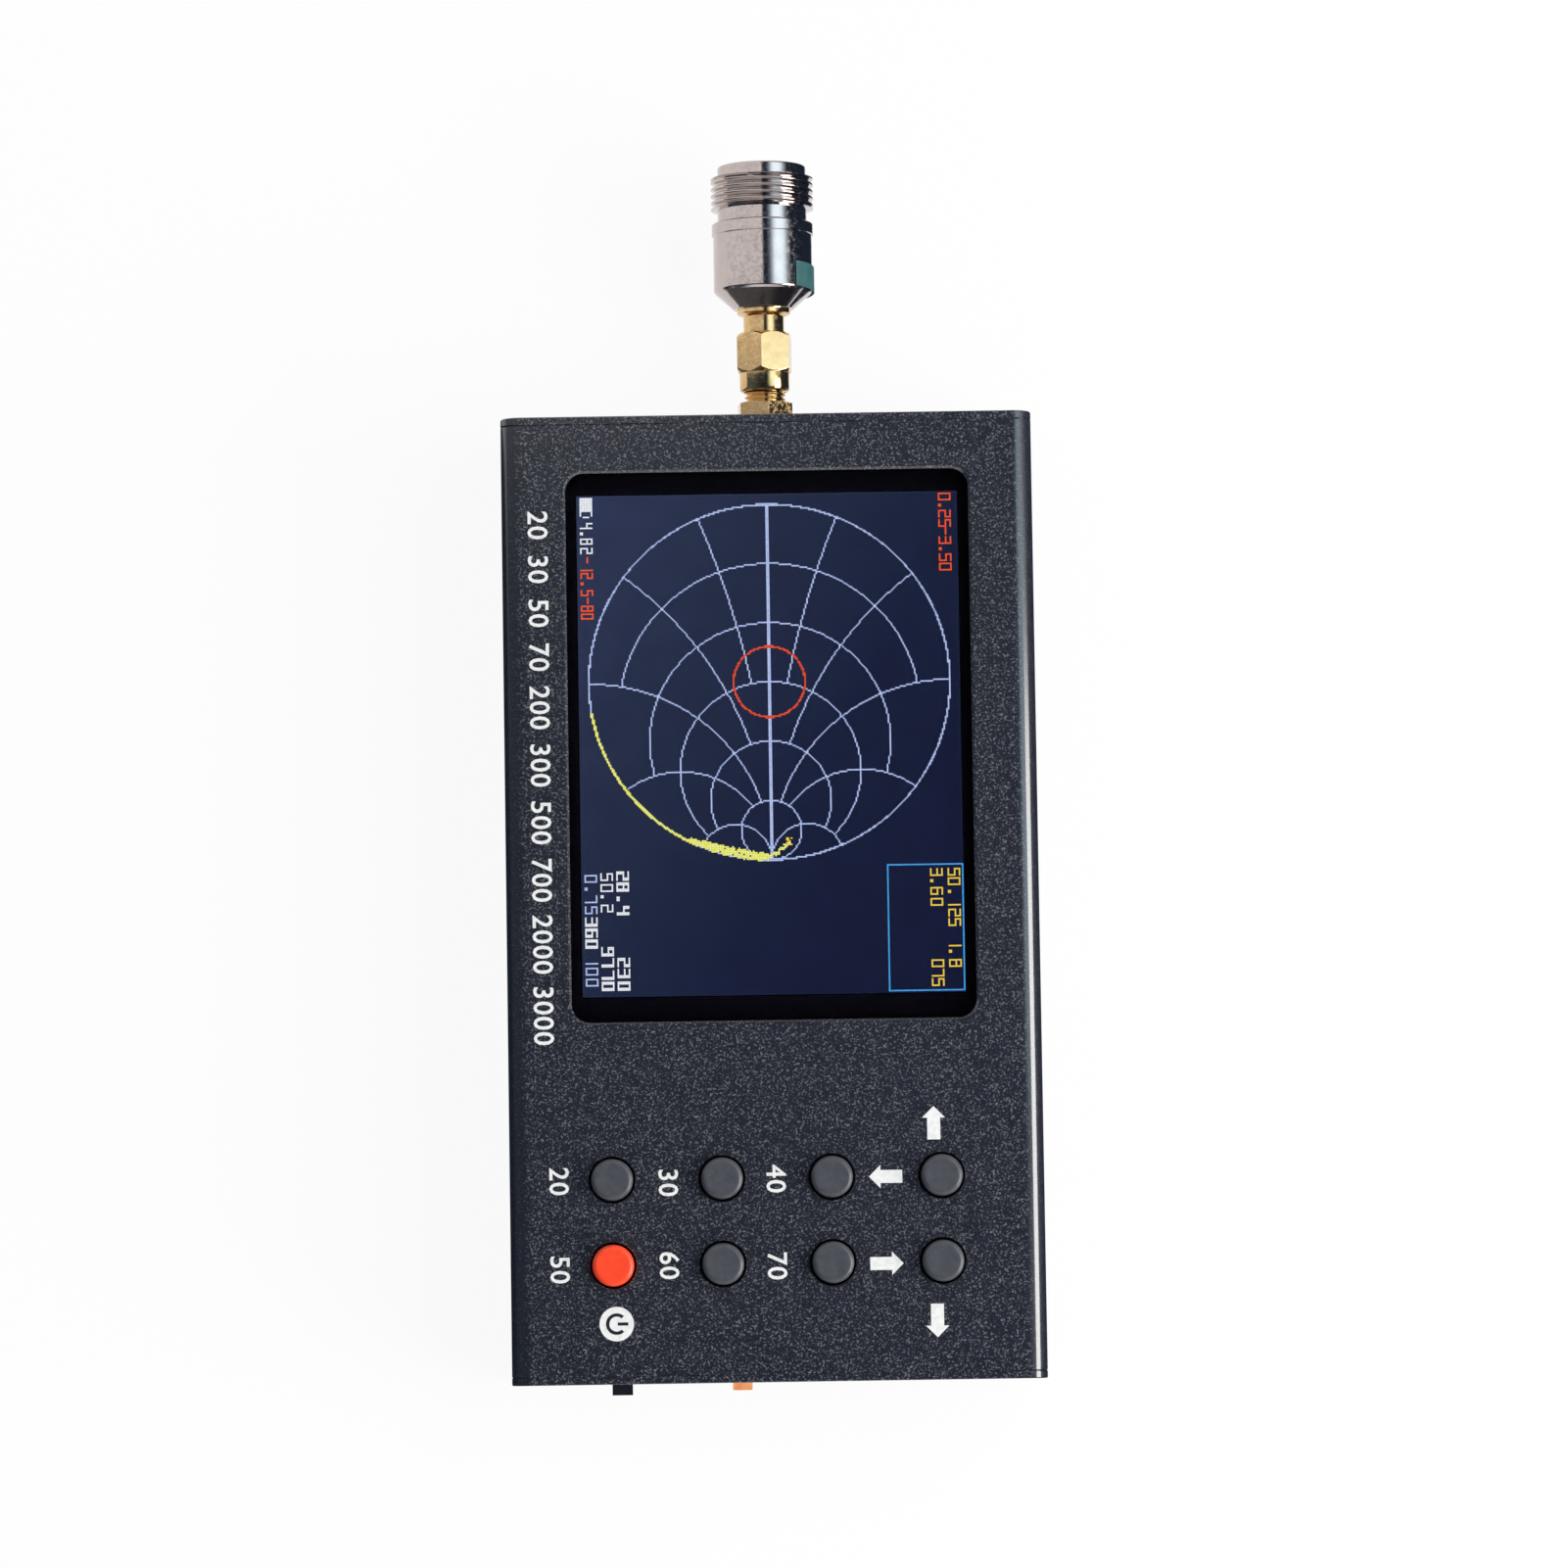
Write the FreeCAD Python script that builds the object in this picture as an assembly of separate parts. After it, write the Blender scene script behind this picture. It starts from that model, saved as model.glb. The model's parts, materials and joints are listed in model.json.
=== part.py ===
import FreeCAD, Part
import os
from math import cos, pi, radians, sin

# Handheld antenna analyzer. Millimetres. The origin is the centre of the back face of the case, +Z points
# out of the display side, +Y towards the coaxial connector and +X to the reader's right.

# Case: two extruded half shells closed by two flat end plates
case_width = 81.0
case_depth = 27.0
case_length = 144.6
case_wall = 2.0
case_edge_radius = 3.0
split_height = 13.5
tongue_height = 1.2
tongue_thickness = 0.9
tongue_gap = 0.05
end_plate_thickness = 1.2
channel_inset_x = 5.1
channel_inset_z = 5.0
channel_radius = 2.6
channel_bore_radius = 1.3
channel_slot = 1.4
web_thickness = 2.6

# End plate screws, flat headed
screw_shank_radius = 1.25
screw_shank_length = 8.0
screw_hole_gap = 0.04
screw_socket_radius = 0.85
screw_socket_depth = 0.7
screw_head_gap = 0.05

# Window and display stack
window_side_margin = 9.825
window_end_margin = 7.5
window_length = 83.7
window_corner = 2.8
window_bevel = 0.35
gasket_thickness = 0.3
gasket_width = 1.6
lens_side_gap = 0.525
lens_thickness = 0.8
picture_side_border = 1.6
picture_lower_border = 3.95
picture_upper_border = 3.15
glass_border = 1.4
glass_thickness = 1.2
backlight_thickness = 1.2
frame_sheet = 0.3
frame_side_gap = 0.1
foam_thickness = 2.1
foam_margin = 4.0
foam_rail = 9.0
ribbon_width = 16.0
ribbon_thickness = 0.15
ribbon_lead = 3.0
ribbon_drop_run = 3.4
ribbon_level = 0.35
display_socket_width = 20.0
display_socket_length = 3.6
display_socket_height = 0.95

# Main board in the card slots of the front shell
board_thickness = 1.6
board_side_gap = 0.2
board_end_gap = 1.0
slot_gap = 0.1
slot_depth = 1.9
slot_rib = 1.1

# Keys: four columns and two rows of round caps on push switches
column_pitch = 16.6
columns = 4
upper_row_y = -42.7
row_pitch = 12.9
key_hole_radius = 3.5
cap_radius = 3.15
cap_rise = 1.9
cap_rim = 0.55
cap_skirt = 1.0
cap_socket_depth = 2.4
plunger_radius = 1.75
plunger_fit = 0.02
plunger_guide_gap = 0.09
plunger_engagement = 0.8
plunger_room = 0.5
switch_side = 6.0
switch_height = 3.5

# Parts on the underside of the board
can_width = 32.0
can_length = 30.0
can_height = 3.6
can_jack_gap = 6.6
can_sheet = 0.4
can_hole_radius = 0.9
can_hole_pitch = 5.0
chips = (
    (-14.0, -30.0, 10.0, 10.0, 1.3),
    (4.0, -27.0, 7.0, 7.0, 1.0),
    (4.0, -41.0, 6.0, 5.0, 1.5),
    (-27.0, -34.0, 5.0, 3.2, 1.2),
    (-14.0, -48.0, 8.0, 5.2, 1.6),
    (26.0, -50.0, 6.5, 6.5, 3.0),
)
battery_socket_inset = 14.3
battery_socket_y = -34.0
battery_socket_width = 8.0
battery_socket_length = 5.0
battery_socket_height = 4.5
battery_socket_wall = 0.8

# Battery on the floor of the back shell
battery_width = 54.0
battery_length = 84.0
battery_thickness = 7.0
battery_corner = 2.0
battery_centre_y = 2.0
pad_thickness = 0.6
pad_margin = 5.0
rail_thickness = 1.2
rail_height = 2.5
rail_gap = 0.4

# Slide switch, charge light and charging socket at the lower end
lever_rest_x = -24.0
lever_stroke = 2.0
lever_width = 3.1
lever_height = 1.5
lever_reach = 1.8
lever_slot_gap = 0.25
lever_foot_width = 4.4
lever_foot_height = 2.4
lever_foot_length = 1.4
lever_foot_gap = 0.12
switch_body_width = 11.0
switch_body_depth = 4.4
switch_body_height = 4.4
plate_inner_gap = 0.3
light_x = -5.7
light_radius = 1.5
light_reach = 1.3
light_drop = 2.6
light_body_length = 5.2
light_flange_radius = 1.85
light_flange_length = 0.6
light_hole_gap = 0.12
light_lead = 0.5
light_lead_pitch = 2.54
light_lead_run = 2.4
light_holder_width = 4.6
light_holder_length = 3.8
light_holder_height = 4.6
socket_x = 10.0
socket_width = 7.5
socket_height = 2.9
socket_length = 5.4
socket_sheet = 0.35
socket_corner = 0.7
socket_plate_gap = 0.35
tongue_plate_width = 4.6
tongue_plate_thickness = 0.7
tongue_base_length = 1.2
tongue_end_gap = 0.9

# Coaxial jack under the board, with its barrel through the upper end plate
jack_drop = 3.7
jack_block_width = 7.0
jack_block_length = 6.4
jack_barrel_radius = 3.175
jack_reach = 10.5
jack_recess = 1.9
jack_bore_radius = 2.31
jack_thread_relief = 0.35
jack_hole_gap = 0.15
jack_pocket_width = 2.4
jack_pocket_length = 3.2
jack_leg_radius = 0.5
jack_leg_pitch = 5.08
jack_leg_gap = 0.12
leg_stand = 0.8
dielectric_radius = 2.04
contact_radius = 0.62
contact_bore_radius = 0.5
contact_bore_depth = 2.6
contact_leg_inset = 1.8
same_body_gap = 0.02
washer_radius = 4.35
washer_thickness = 0.7
washer_slit = 0.5
panel_nut_across = 8.0
panel_nut_length = 2.6
panel_nut_turn = 24.6
nut_chamfer = 0.35

# Adapter: coupling nut, gold sleeve and large coaxial socket
nut_across = 8.0
nut_turn = 35.4
nut_overlap = 5.4
nut_skirt_radius = 3.85
nut_skirt_length = 2.9
nut_hex_length = 6.2
nut_bore_radius = 3.25
nut_wall_length = 2.4
nut_running_gap = 0.1
seat_gap = 0.05
sleeve_tube_radius = 2.27
seal_radius = 3.05
seal_thickness = 0.6
sleeve_flange_length = 0.55
sleeve_neck_radius = 2.65
ring_thickness = 0.4
ring_inner_radius = 2.37
ring_outer_radius = 3.12
ring_inset = 0.8
ring_slit = 0.9
sleeve_shoulder_radius = 3.15
sleeve_shoulder_length = 2.9
sleeve_collar_radius = 4.1
sleeve_collar_length = 0.75
sleeve_stub_radius = 3.0
sleeve_stub_length = 3.05
pin_radius = 0.46
pin_reach = 2.2
pin_point = 0.3
shell_cone_radius = 4.8
shell_cone_length = 2.75
shell_body_radius = 7.65
shell_band_radius = 7.85
shell_band_length = 1.9
shell_body_length = 10.6
shell_groove_radius = 6.9
shell_groove_length = 2.05
shell_thread_radius = 7.9375
shell_thread_length = 5.15
shell_lip_radius = 6.85
shell_lip_length = 1.7
shell_edge = 0.25
socket_bore_radius = 4.05
socket_bore_depth = 9.1
insulator_radius = 3.5
large_contact_radius = 1.52
large_contact_setback = 3.9
large_contact_bore_radius = 0.83
large_contact_bore_depth = 6.5
large_contact_slot = 0.3
large_contact_slot_depth = 5.0
large_contact_tail_length = 1.5

# Places worked out from the sizes above
half_width = case_width / 2
inner_half_width = half_width - case_wall
inner_edge_radius = case_edge_radius - case_wall
end_y = case_length / 2
plate_face_y = end_y + end_plate_thickness
front_inside = case_depth - case_wall
channel_x = half_width - channel_inset_x
channel_heights = (channel_inset_z, case_depth - channel_inset_z)
screw_head_height = end_plate_thickness - screw_head_gap
screw_head_radius = screw_shank_radius + screw_head_height
gasket_bottom = front_inside - gasket_thickness
lens_bottom = gasket_bottom - lens_thickness
window_width = case_width - 2 * window_side_margin
window_high = end_y - window_end_margin
window_low = window_high - window_length
picture_width = window_width - 2 * picture_side_border
picture_low = window_low + picture_lower_border
picture_high = window_high - picture_upper_border
lens_half_width = channel_x - channel_radius - lens_side_gap
lens_low = window_low - gasket_width
lens_high = window_high + gasket_width
glass_top = lens_bottom - frame_sheet
glass_bottom = glass_top - glass_thickness
backlight_bottom = glass_bottom - backlight_thickness
frame_bottom = backlight_bottom - frame_sheet
board_top = frame_bottom - foam_thickness
board_bottom = board_top - board_thickness
board_half_width = inner_half_width - board_side_gap
glass_half_width = picture_width / 2 + glass_border
glass_low = picture_low - glass_border
glass_high = picture_high + glass_border
frame_half_width = glass_half_width + frame_side_gap + frame_sheet
frame_low = glass_low - frame_side_gap - frame_sheet
frame_high = glass_high + frame_side_gap + frame_sheet
column_x = [column_pitch * (i - (columns - 1) / 2) for i in range(columns)]
row_y = (upper_row_y, upper_row_y - row_pitch)
switch_top = board_top + switch_height
cap_bottom = front_inside - cap_skirt
plunger_top = cap_bottom + cap_socket_depth
plunger_bottom = switch_top - plunger_engagement
plunger_guide_radius = plunger_radius + plunger_guide_gap
battery_bottom = case_wall + pad_thickness
lever_middle_z = board_bottom - switch_body_height / 2
light_z = board_bottom - light_drop
jack_z = board_bottom - jack_drop
jack_front = end_y - plate_inner_gap
jack_back = jack_front - jack_block_length
can_centre_y = jack_back - can_jack_gap - can_length / 2
jack_end = plate_face_y + jack_reach
jack_plane = jack_end - jack_recess
jack_leg_y = jack_front - jack_block_length / 2
contact_leg_y = jack_back + contact_leg_inset
nut_start = jack_end - nut_overlap
nut_skirt_end = nut_start + nut_skirt_length
nut_end = nut_skirt_end + nut_hex_length
nut_wall_start = nut_end - nut_wall_length
seal_start = jack_end + seat_gap
seal_end = seal_start + seal_thickness
sleeve_start = jack_plane + seat_gap
sleeve_flange_end = seal_end + sleeve_flange_length
ring_start = nut_wall_start + ring_inset
ring_end = ring_start + ring_thickness
shoulder_start = nut_end + nut_running_gap
shoulder_end = shoulder_start + sleeve_shoulder_length
shell_start = shoulder_end + sleeve_collar_length
shell_cone_end = shell_start + shell_cone_length
shell_body_end = shell_cone_end + shell_body_length
shell_groove_end = shell_body_end + shell_groove_length
shell_thread_end = shell_groove_end + shell_thread_length
shell_end = shell_thread_end + shell_lip_length
sleeve_end = shell_start + sleeve_stub_length
socket_floor = shell_end - socket_bore_depth
large_contact_tip = shell_end - large_contact_setback
large_contact_tail = sleeve_end + large_contact_tail_length


def point(x, y, z):
    return FreeCAD.Vector(x, y, z)


def box(x0, x1, y0, y1, z0, z1):
    return Part.makeBox(x1 - x0, y1 - y0, z1 - z0, point(x0, y0, z0))


def post(x, y, z0, z1, radius):
    """A round solid standing along Z."""
    return Part.makeCylinder(radius, z1 - z0, point(x, y, z0), point(0, 0, 1))


def rod(x, z, y0, y1, radius):
    """A round solid lying along Y."""
    return Part.makeCylinder(radius, y1 - y0, point(x, y0, z), point(0, 1, 0))


def round_outline(a0, a1, b0, b1, radius, place):
    """A closed rectangle with round corners. place turns a pair (a, b) into a point in space."""
    edges = []
    last = None
    first = None
    centres = (
        (a1 - radius, b1 - radius, 0),
        (a0 + radius, b1 - radius, 90),
        (a0 + radius, b0 + radius, 180),
        (a1 - radius, b0 + radius, 270),
    )
    for a, b, start in centres:
        turns = [radians(start + step) for step in (0, 45, 90)]
        arc = [place(a + radius * cos(t), b + radius * sin(t)) for t in turns]
        if last is None:
            first = arc[0]
        else:
            edges.append(Part.makeLine(last, arc[0]))
        edges.append(Part.Arc(arc[0], arc[1], arc[2]).toShape())
        last = arc[2]
    edges.append(Part.makeLine(last, first))
    return Part.Wire(edges)


def bar(x0, x1, z0, z1, y0, y1, radius):
    """A rectangle with round corners, carried along Y."""
    outline = round_outline(x0, x1, z0, z1, radius, lambda a, b: point(a, y0, b))
    return Part.Face(outline).extrude(point(0, y1 - y0, 0))


def slab(x0, x1, y0, y1, z0, z1, radius):
    """A rectangle with round corners, carried along Z."""
    outline = round_outline(x0, x1, y0, y1, radius, lambda a, b: point(a, b, z0))
    return Part.Face(outline).extrude(point(0, 0, z1 - z0))


def flared_slab(x0, x1, y0, y1, z0, z1, radius, flare):
    """A round-cornered plate that grows by flare on every side from its lower to its upper face."""
    low = round_outline(x0, x1, y0, y1, radius, lambda a, b: point(a, b, z0))
    wide = (x0 - flare, x1 + flare, y0 - flare, y1 + flare)
    high = round_outline(*wide, radius + flare, lambda a, b: point(a, b, z1))
    return Part.makeLoft([low, high], True, True)


def turned(profile, x=0.0, z=jack_z):
    """A profile of (y, radius) pairs turned about a line along Y."""
    corners = [point(x + radius, y, z) for y, radius in profile]
    face = Part.Face(Part.makePolygon(corners + corners[:1]))
    return face.revolve(point(x, 0, z), point(0, 1, 0), 360)


def turned_up(profile, x, y):
    """A profile of (z, radius) pairs turned about a vertical line."""
    corners = [point(x + radius, y, z) for z, radius in profile]
    face = Part.Face(Part.makePolygon(corners + corners[:1]))
    return face.revolve(point(x, y, 0), point(0, 0, 1), 360)


def hexagon(across, y0, y1, turn, edge):
    """A six-sided bar along the jack's axis, with its corners turned away at both ends."""
    corner_radius = across / 2 / cos(pi / 6)
    angles = [radians(turn + 60 * i) for i in range(6)]
    corners = [point(corner_radius * cos(a), y0, jack_z + corner_radius * sin(a)) for a in angles]
    prism = Part.Face(Part.makePolygon(corners + corners[:1])).extrude(point(0, y1 - y0, 0))
    blank = [(y0, 0), (y0, corner_radius - edge), (y0 + edge / 2, corner_radius)]
    blank += [(y1 - edge / 2, corner_radius), (y1, corner_radius - edge), (y1, 0)]
    return prism.common(turned(blank))


def screw_places():
    return [(side * channel_x, z) for side in (-1, 1) for z in channel_heights]


def screw_channel(side, z, wall_z):
    """An open round channel for an end screw, joined to the side wall and to the nearer flat wall."""
    x = side * channel_x
    body = rod(x, z, -end_y, end_y, channel_radius)
    reach = sorted((x, side * inner_half_width))
    body = body.fuse(box(*reach, -end_y, end_y, z - web_thickness / 2, z + web_thickness / 2))
    height = sorted((z, wall_z))
    body = body.fuse(box(x - web_thickness / 2, x + web_thickness / 2, -end_y, end_y, *height))
    body = body.cut(rod(x, z, -end_y, end_y, channel_bore_radius))
    mouth = sorted((x, x - side * 2 * channel_radius))
    return body.cut(box(*mouth, -end_y, end_y, z - channel_slot / 2, z + channel_slot / 2))


def case_tube():
    """The closed outline of both shells, hollow all the way along."""
    outside = bar(-half_width, half_width, 0, case_depth, -end_y, end_y, case_edge_radius)
    inside = bar(-inner_half_width, inner_half_width, case_wall, front_inside, -end_y, end_y, inner_edge_radius)
    return outside.cut(inside)


def make_front_case():
    shell = case_tube().common(box(-half_width, half_width, -end_y, end_y, split_height, case_depth))
    for side in (-1, 1):
        wall = side * inner_half_width
        tongue = sorted((wall, wall + side * tongue_thickness))
        shell = shell.fuse(box(*tongue, -end_y, end_y, split_height - tongue_height, split_height))
        ledge = sorted((wall, wall - side * slot_depth))
        low = board_bottom - slot_gap
        shell = shell.fuse(box(*ledge, -end_y, end_y, low - slot_rib, low))
        high = board_top + slot_gap
        shell = shell.fuse(box(*ledge, -end_y, end_y, high, high + slot_rib))
        shell = shell.fuse(screw_channel(side, channel_heights[1], front_inside))
    shell = shell.removeSplitter()
    window = (-window_width / 2, window_width / 2, window_low, window_high)
    shell = shell.cut(slab(*window, front_inside, case_depth, window_corner))
    bevel_start = case_depth - window_bevel
    shell = shell.cut(flared_slab(*window, bevel_start, case_depth, window_corner, window_bevel))
    for x in column_x:
        for y in row_y:
            shell = shell.cut(post(x, y, front_inside, case_depth, key_hole_radius))
    return shell


def make_back_case():
    shell = case_tube().common(box(-half_width, half_width, -end_y, end_y, 0, split_height))
    for side in (-1, 1):
        shell = shell.fuse(screw_channel(side, channel_heights[0], case_wall))
        rail = side * (battery_width / 2 + rail_gap)
        span = sorted((rail, rail + side * rail_thickness))
        shell = shell.fuse(box(*span, -end_y, end_y, case_wall, case_wall + rail_height))
    shell = shell.removeSplitter()
    for side in (-1, 1):
        wall = side * inner_half_width
        rebate = sorted((wall, wall + side * (tongue_thickness + tongue_gap)))
        low = split_height - tongue_height - tongue_gap
        shell = shell.cut(box(*rebate, -end_y, end_y, low, split_height))
    return shell


def blank_end_plate(side):
    """A flat end plate with four countersunk screw holes. side is 1 at the upper end, -1 at the lower."""
    span = sorted((side * end_y, side * plate_face_y))
    plate = bar(-half_width, half_width, 0, case_depth, *span, case_edge_radius)
    for x, z in screw_places():
        inner = screw_shank_radius + screw_hole_gap
        outer = inner + end_plate_thickness
        cone = [(side * plate_face_y, 0), (side * plate_face_y, outer)]
        cone += [(side * end_y, inner), (side * end_y, 0)]
        plate = plate.cut(turned(cone, x, z))
    return plate


def make_connector_end_plate():
    hole = jack_barrel_radius + jack_hole_gap
    return blank_end_plate(1).cut(rod(0, jack_z, end_y, plate_face_y, hole))


def make_switch_end_plate():
    plate = blank_end_plate(-1)
    low_x = lever_rest_x - lever_width / 2 - lever_slot_gap
    high_x = lever_rest_x + lever_stroke + lever_width / 2 + lever_slot_gap
    reach = lever_height / 2 + lever_slot_gap
    plate = plate.cut(box(low_x, high_x, -plate_face_y, -end_y, lever_middle_z - reach, lever_middle_z + reach))
    plate = plate.cut(rod(light_x, light_z, -plate_face_y, -end_y, light_radius + light_hole_gap))
    half = socket_width / 2 + socket_plate_gap
    low_z = board_bottom - socket_height - socket_plate_gap
    high_z = board_bottom + socket_plate_gap
    corner = socket_corner + socket_plate_gap
    opening = bar(socket_x - half, socket_x + half, low_z, high_z, -plate_face_y, -end_y, corner)
    return plate.cut(opening)


def make_end_screws(side):
    screws = []
    face = plate_face_y - screw_head_gap
    for x, z in screw_places():
        neck = face - screw_head_height
        tip = end_y - screw_shank_length
        profile = [(tip, 0), (tip, screw_shank_radius), (neck, screw_shank_radius)]
        profile += [(face, screw_head_radius), (face, 0)]
        screw = turned([(side * y, radius) for y, radius in profile], x, z)
        angles = [radians(60 * i) for i in range(6)]
        hexagon_points = [
            point(x + screw_socket_radius * cos(a), side * face, z + screw_socket_radius * sin(a)) for a in angles
        ]
        socket = Part.Face(Part.makePolygon(hexagon_points + hexagon_points[:1]))
        screws.append(screw.cut(socket.extrude(point(0, -side * screw_socket_depth, 0))))
    return Part.makeCompound(screws)


def make_display_lens():
    return slab(-lens_half_width, lens_half_width, lens_low, lens_high, lens_bottom, gasket_bottom, window_corner)


def make_lens_gasket():
    outline = (-lens_half_width, lens_half_width, lens_low, lens_high)
    ring = slab(*outline, gasket_bottom, front_inside, window_corner)
    window = (-window_width / 2, window_width / 2, window_low, window_high)
    return ring.cut(slab(*window, gasket_bottom, front_inside, window_corner))


def make_lcd_frame():
    """A folded tray that holds the glass: a back sheet, four sides and a front lip round the picture."""
    outline = (-frame_half_width, frame_half_width, frame_low, frame_high)
    tray = box(*outline, frame_bottom, lens_bottom)
    inside = (
        -glass_half_width - frame_side_gap,
        glass_half_width + frame_side_gap,
        glass_low - frame_side_gap,
        glass_high + frame_side_gap,
    )
    tray = tray.cut(box(*inside, backlight_bottom, glass_top))
    tray = tray.cut(box(-picture_width / 2, picture_width / 2, picture_low, picture_high, glass_top, lens_bottom))
    flex_low = backlight_bottom
    flex_high = backlight_bottom + ribbon_level + ribbon_thickness + frame_side_gap
    half = ribbon_width / 2 + frame_side_gap
    return tray.cut(box(-half, half, frame_low, glass_low, flex_low, flex_high))


def make_lcd_glass():
    return box(-glass_half_width, glass_half_width, glass_low, glass_high, glass_bottom, glass_top)


def make_backlight_plate():
    return box(-glass_half_width, glass_half_width, glass_low, glass_high, backlight_bottom, glass_bottom)


def make_display_foam_pad():
    low = frame_low + foam_margin
    high = frame_high - foam_margin
    half = frame_half_width - foam_margin
    pad = slab(-half, half, low, high, board_top, frame_bottom, window_corner)
    hollow = (-half + foam_rail, half - foam_rail, low + foam_rail, high - foam_rail)
    return pad.cut(slab(*hollow, board_top, frame_bottom, window_corner))


def make_lcd_ribbon():
    """A flat cable from the lower edge of the glass down to its socket, one folded strip."""
    start = glass_low
    high = backlight_bottom + ribbon_level
    low = board_top + display_socket_height
    bend = frame_low - ribbon_lead
    landing = bend - ribbon_drop_run
    end = landing - display_socket_length
    under = [(start, high), (bend, high), (landing, low), (end, low)]
    over = [(y, z + ribbon_thickness) for y, z in reversed(under)]
    corners = [point(-ribbon_width / 2, y, z) for y, z in under + over]
    return Part.Face(Part.makePolygon(corners + corners[:1])).extrude(point(ribbon_width, 0, 0))


def make_display_connector():
    high = frame_low - ribbon_lead - ribbon_drop_run
    low = high - display_socket_length
    half = display_socket_width / 2
    return box(-half, half, low, high, board_top, board_top + display_socket_height)


def make_main_board():
    half_length = end_y - board_end_gap
    board = box(-board_half_width, board_half_width, -half_length, half_length, board_bottom, board_top)
    for x in (-jack_leg_pitch / 2, jack_leg_pitch / 2):
        for y in (jack_leg_y - jack_leg_pitch / 2, jack_leg_y + jack_leg_pitch / 2):
            board = board.cut(post(x, y, board_bottom, board_top, jack_leg_radius + jack_leg_gap))
    board = board.cut(post(0, contact_leg_y, board_bottom, board_top, contact_radius + jack_leg_gap))
    for x in (light_x - light_lead_pitch / 2, light_x + light_lead_pitch / 2):
        board = board.cut(post(x, light_leg_y(), board_bottom, board_top, light_lead))
    return board


def make_rf_shield_can():
    low = can_centre_y - can_length / 2
    high = can_centre_y + can_length / 2
    half = can_width / 2
    bottom = board_bottom - can_height
    can = box(-half, half, low, high, bottom, board_bottom)
    can = can.cut(box(-half + can_sheet, half - can_sheet, low + can_sheet, high - can_sheet,
                      bottom + can_sheet, board_bottom))
    for i in (-1, 1):
        for j in (-1, 1):
            y = can_centre_y + j * can_hole_pitch
            can = can.cut(post(i * can_hole_pitch, y, bottom, bottom + can_sheet, can_hole_radius))
    return can


def under_board_block(x, y, width, length, height):
    half = width / 2
    return box(x - half, x + half, y - length / 2, y + length / 2, board_bottom - height, board_bottom)


def make_board_chips():
    return Part.makeCompound([under_board_block(*chip) for chip in chips])


def make_battery_connector():
    x = board_half_width - battery_socket_inset
    y = battery_socket_y
    half = battery_socket_width / 2
    reach = battery_socket_length / 2
    block = under_board_block(x, y, battery_socket_width, battery_socket_length, battery_socket_height)
    wall = battery_socket_wall
    mouth = (x - half + wall, x + half - wall, y - reach, y + reach - wall)
    return block.cut(box(*mouth, board_bottom - battery_socket_height + wall, board_bottom - wall))


def make_battery_cell():
    half = battery_width / 2
    low = battery_centre_y - battery_length / 2
    high = battery_centre_y + battery_length / 2
    return bar(-half, half, battery_bottom, battery_bottom + battery_thickness, low, high, battery_corner)


def make_battery_pad():
    half = battery_width / 2 - pad_margin
    reach = battery_length / 2 - pad_margin
    return box(-half, half, battery_centre_y - reach, battery_centre_y + reach, case_wall, battery_bottom)


def make_button_switches():
    switches = []
    half = switch_side / 2
    for x in column_x:
        for y in row_y:
            body = box(x - half, x + half, y - half, y + half, board_top, switch_top)
            floor = plunger_bottom - plunger_room
            switches.append(body.cut(post(x, y, floor, switch_top, plunger_guide_radius)))
    return Part.makeCompound(switches)


def make_cap(x, y):
    """A round key cap with a soft rim, and a socket below that its plunger is pressed into."""
    top = case_depth + cap_rise
    steps = [radians(angle) for angle in (0, 45, 90)]
    rim = [(top - cap_rim + cap_rim * sin(t), cap_radius - cap_rim + cap_rim * cos(t)) for t in steps]
    bore = plunger_radius + plunger_fit
    profile = [(plunger_top, 0), (plunger_top, bore), (cap_bottom, bore), (cap_bottom, cap_radius)]
    return turned_up(profile + rim + [(top, 0)], x, y)


def make_plunger(x, y):
    return post(x, y, plunger_bottom, plunger_top, plunger_radius)


def make_slide_switch_body():
    front = -end_y + plate_inner_gap
    back = front + switch_body_depth
    middle = lever_rest_x + lever_stroke / 2
    half = switch_body_width / 2
    body = box(middle - half, middle + half, front, back, board_bottom - switch_body_height, board_bottom)
    foot_start = back - lever_foot_gap * 3 - lever_foot_length
    low_x = lever_rest_x - lever_foot_width / 2 - lever_foot_gap
    high_x = lever_rest_x + lever_stroke + lever_foot_width / 2 + lever_foot_gap
    reach = lever_foot_height / 2 + lever_foot_gap
    room = (foot_start - lever_foot_gap, foot_start + lever_foot_length + lever_foot_gap)
    body = body.cut(box(low_x, high_x, *room, lever_middle_z - reach, lever_middle_z + reach))
    low_x = lever_rest_x - lever_width / 2 - lever_foot_gap
    high_x = lever_rest_x + lever_stroke + lever_width / 2 + lever_foot_gap
    reach = lever_height / 2 + lever_foot_gap
    return body.cut(box(low_x, high_x, front, foot_start, lever_middle_z - reach, lever_middle_z + reach))


def make_slide_switch_lever():
    back = -end_y + plate_inner_gap + switch_body_depth
    foot_end = back - lever_foot_gap * 3
    foot_start = foot_end - lever_foot_length
    half = lever_width / 2
    reach = lever_height / 2
    tip = -plate_face_y - lever_reach
    stem = (lever_rest_x - half, lever_rest_x + half, tip, foot_start)
    lever = box(*stem, lever_middle_z - reach, lever_middle_z + reach)
    half = lever_foot_width / 2
    reach = lever_foot_height / 2
    foot = (lever_rest_x - half, lever_rest_x + half, foot_start, foot_end)
    return lever.fuse(box(*foot, lever_middle_z - reach, lever_middle_z + reach)).removeSplitter()


def light_base_y():
    return -plate_face_y - light_reach + light_body_length


def light_leg_y():
    return light_base_y() + light_lead_run


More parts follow.
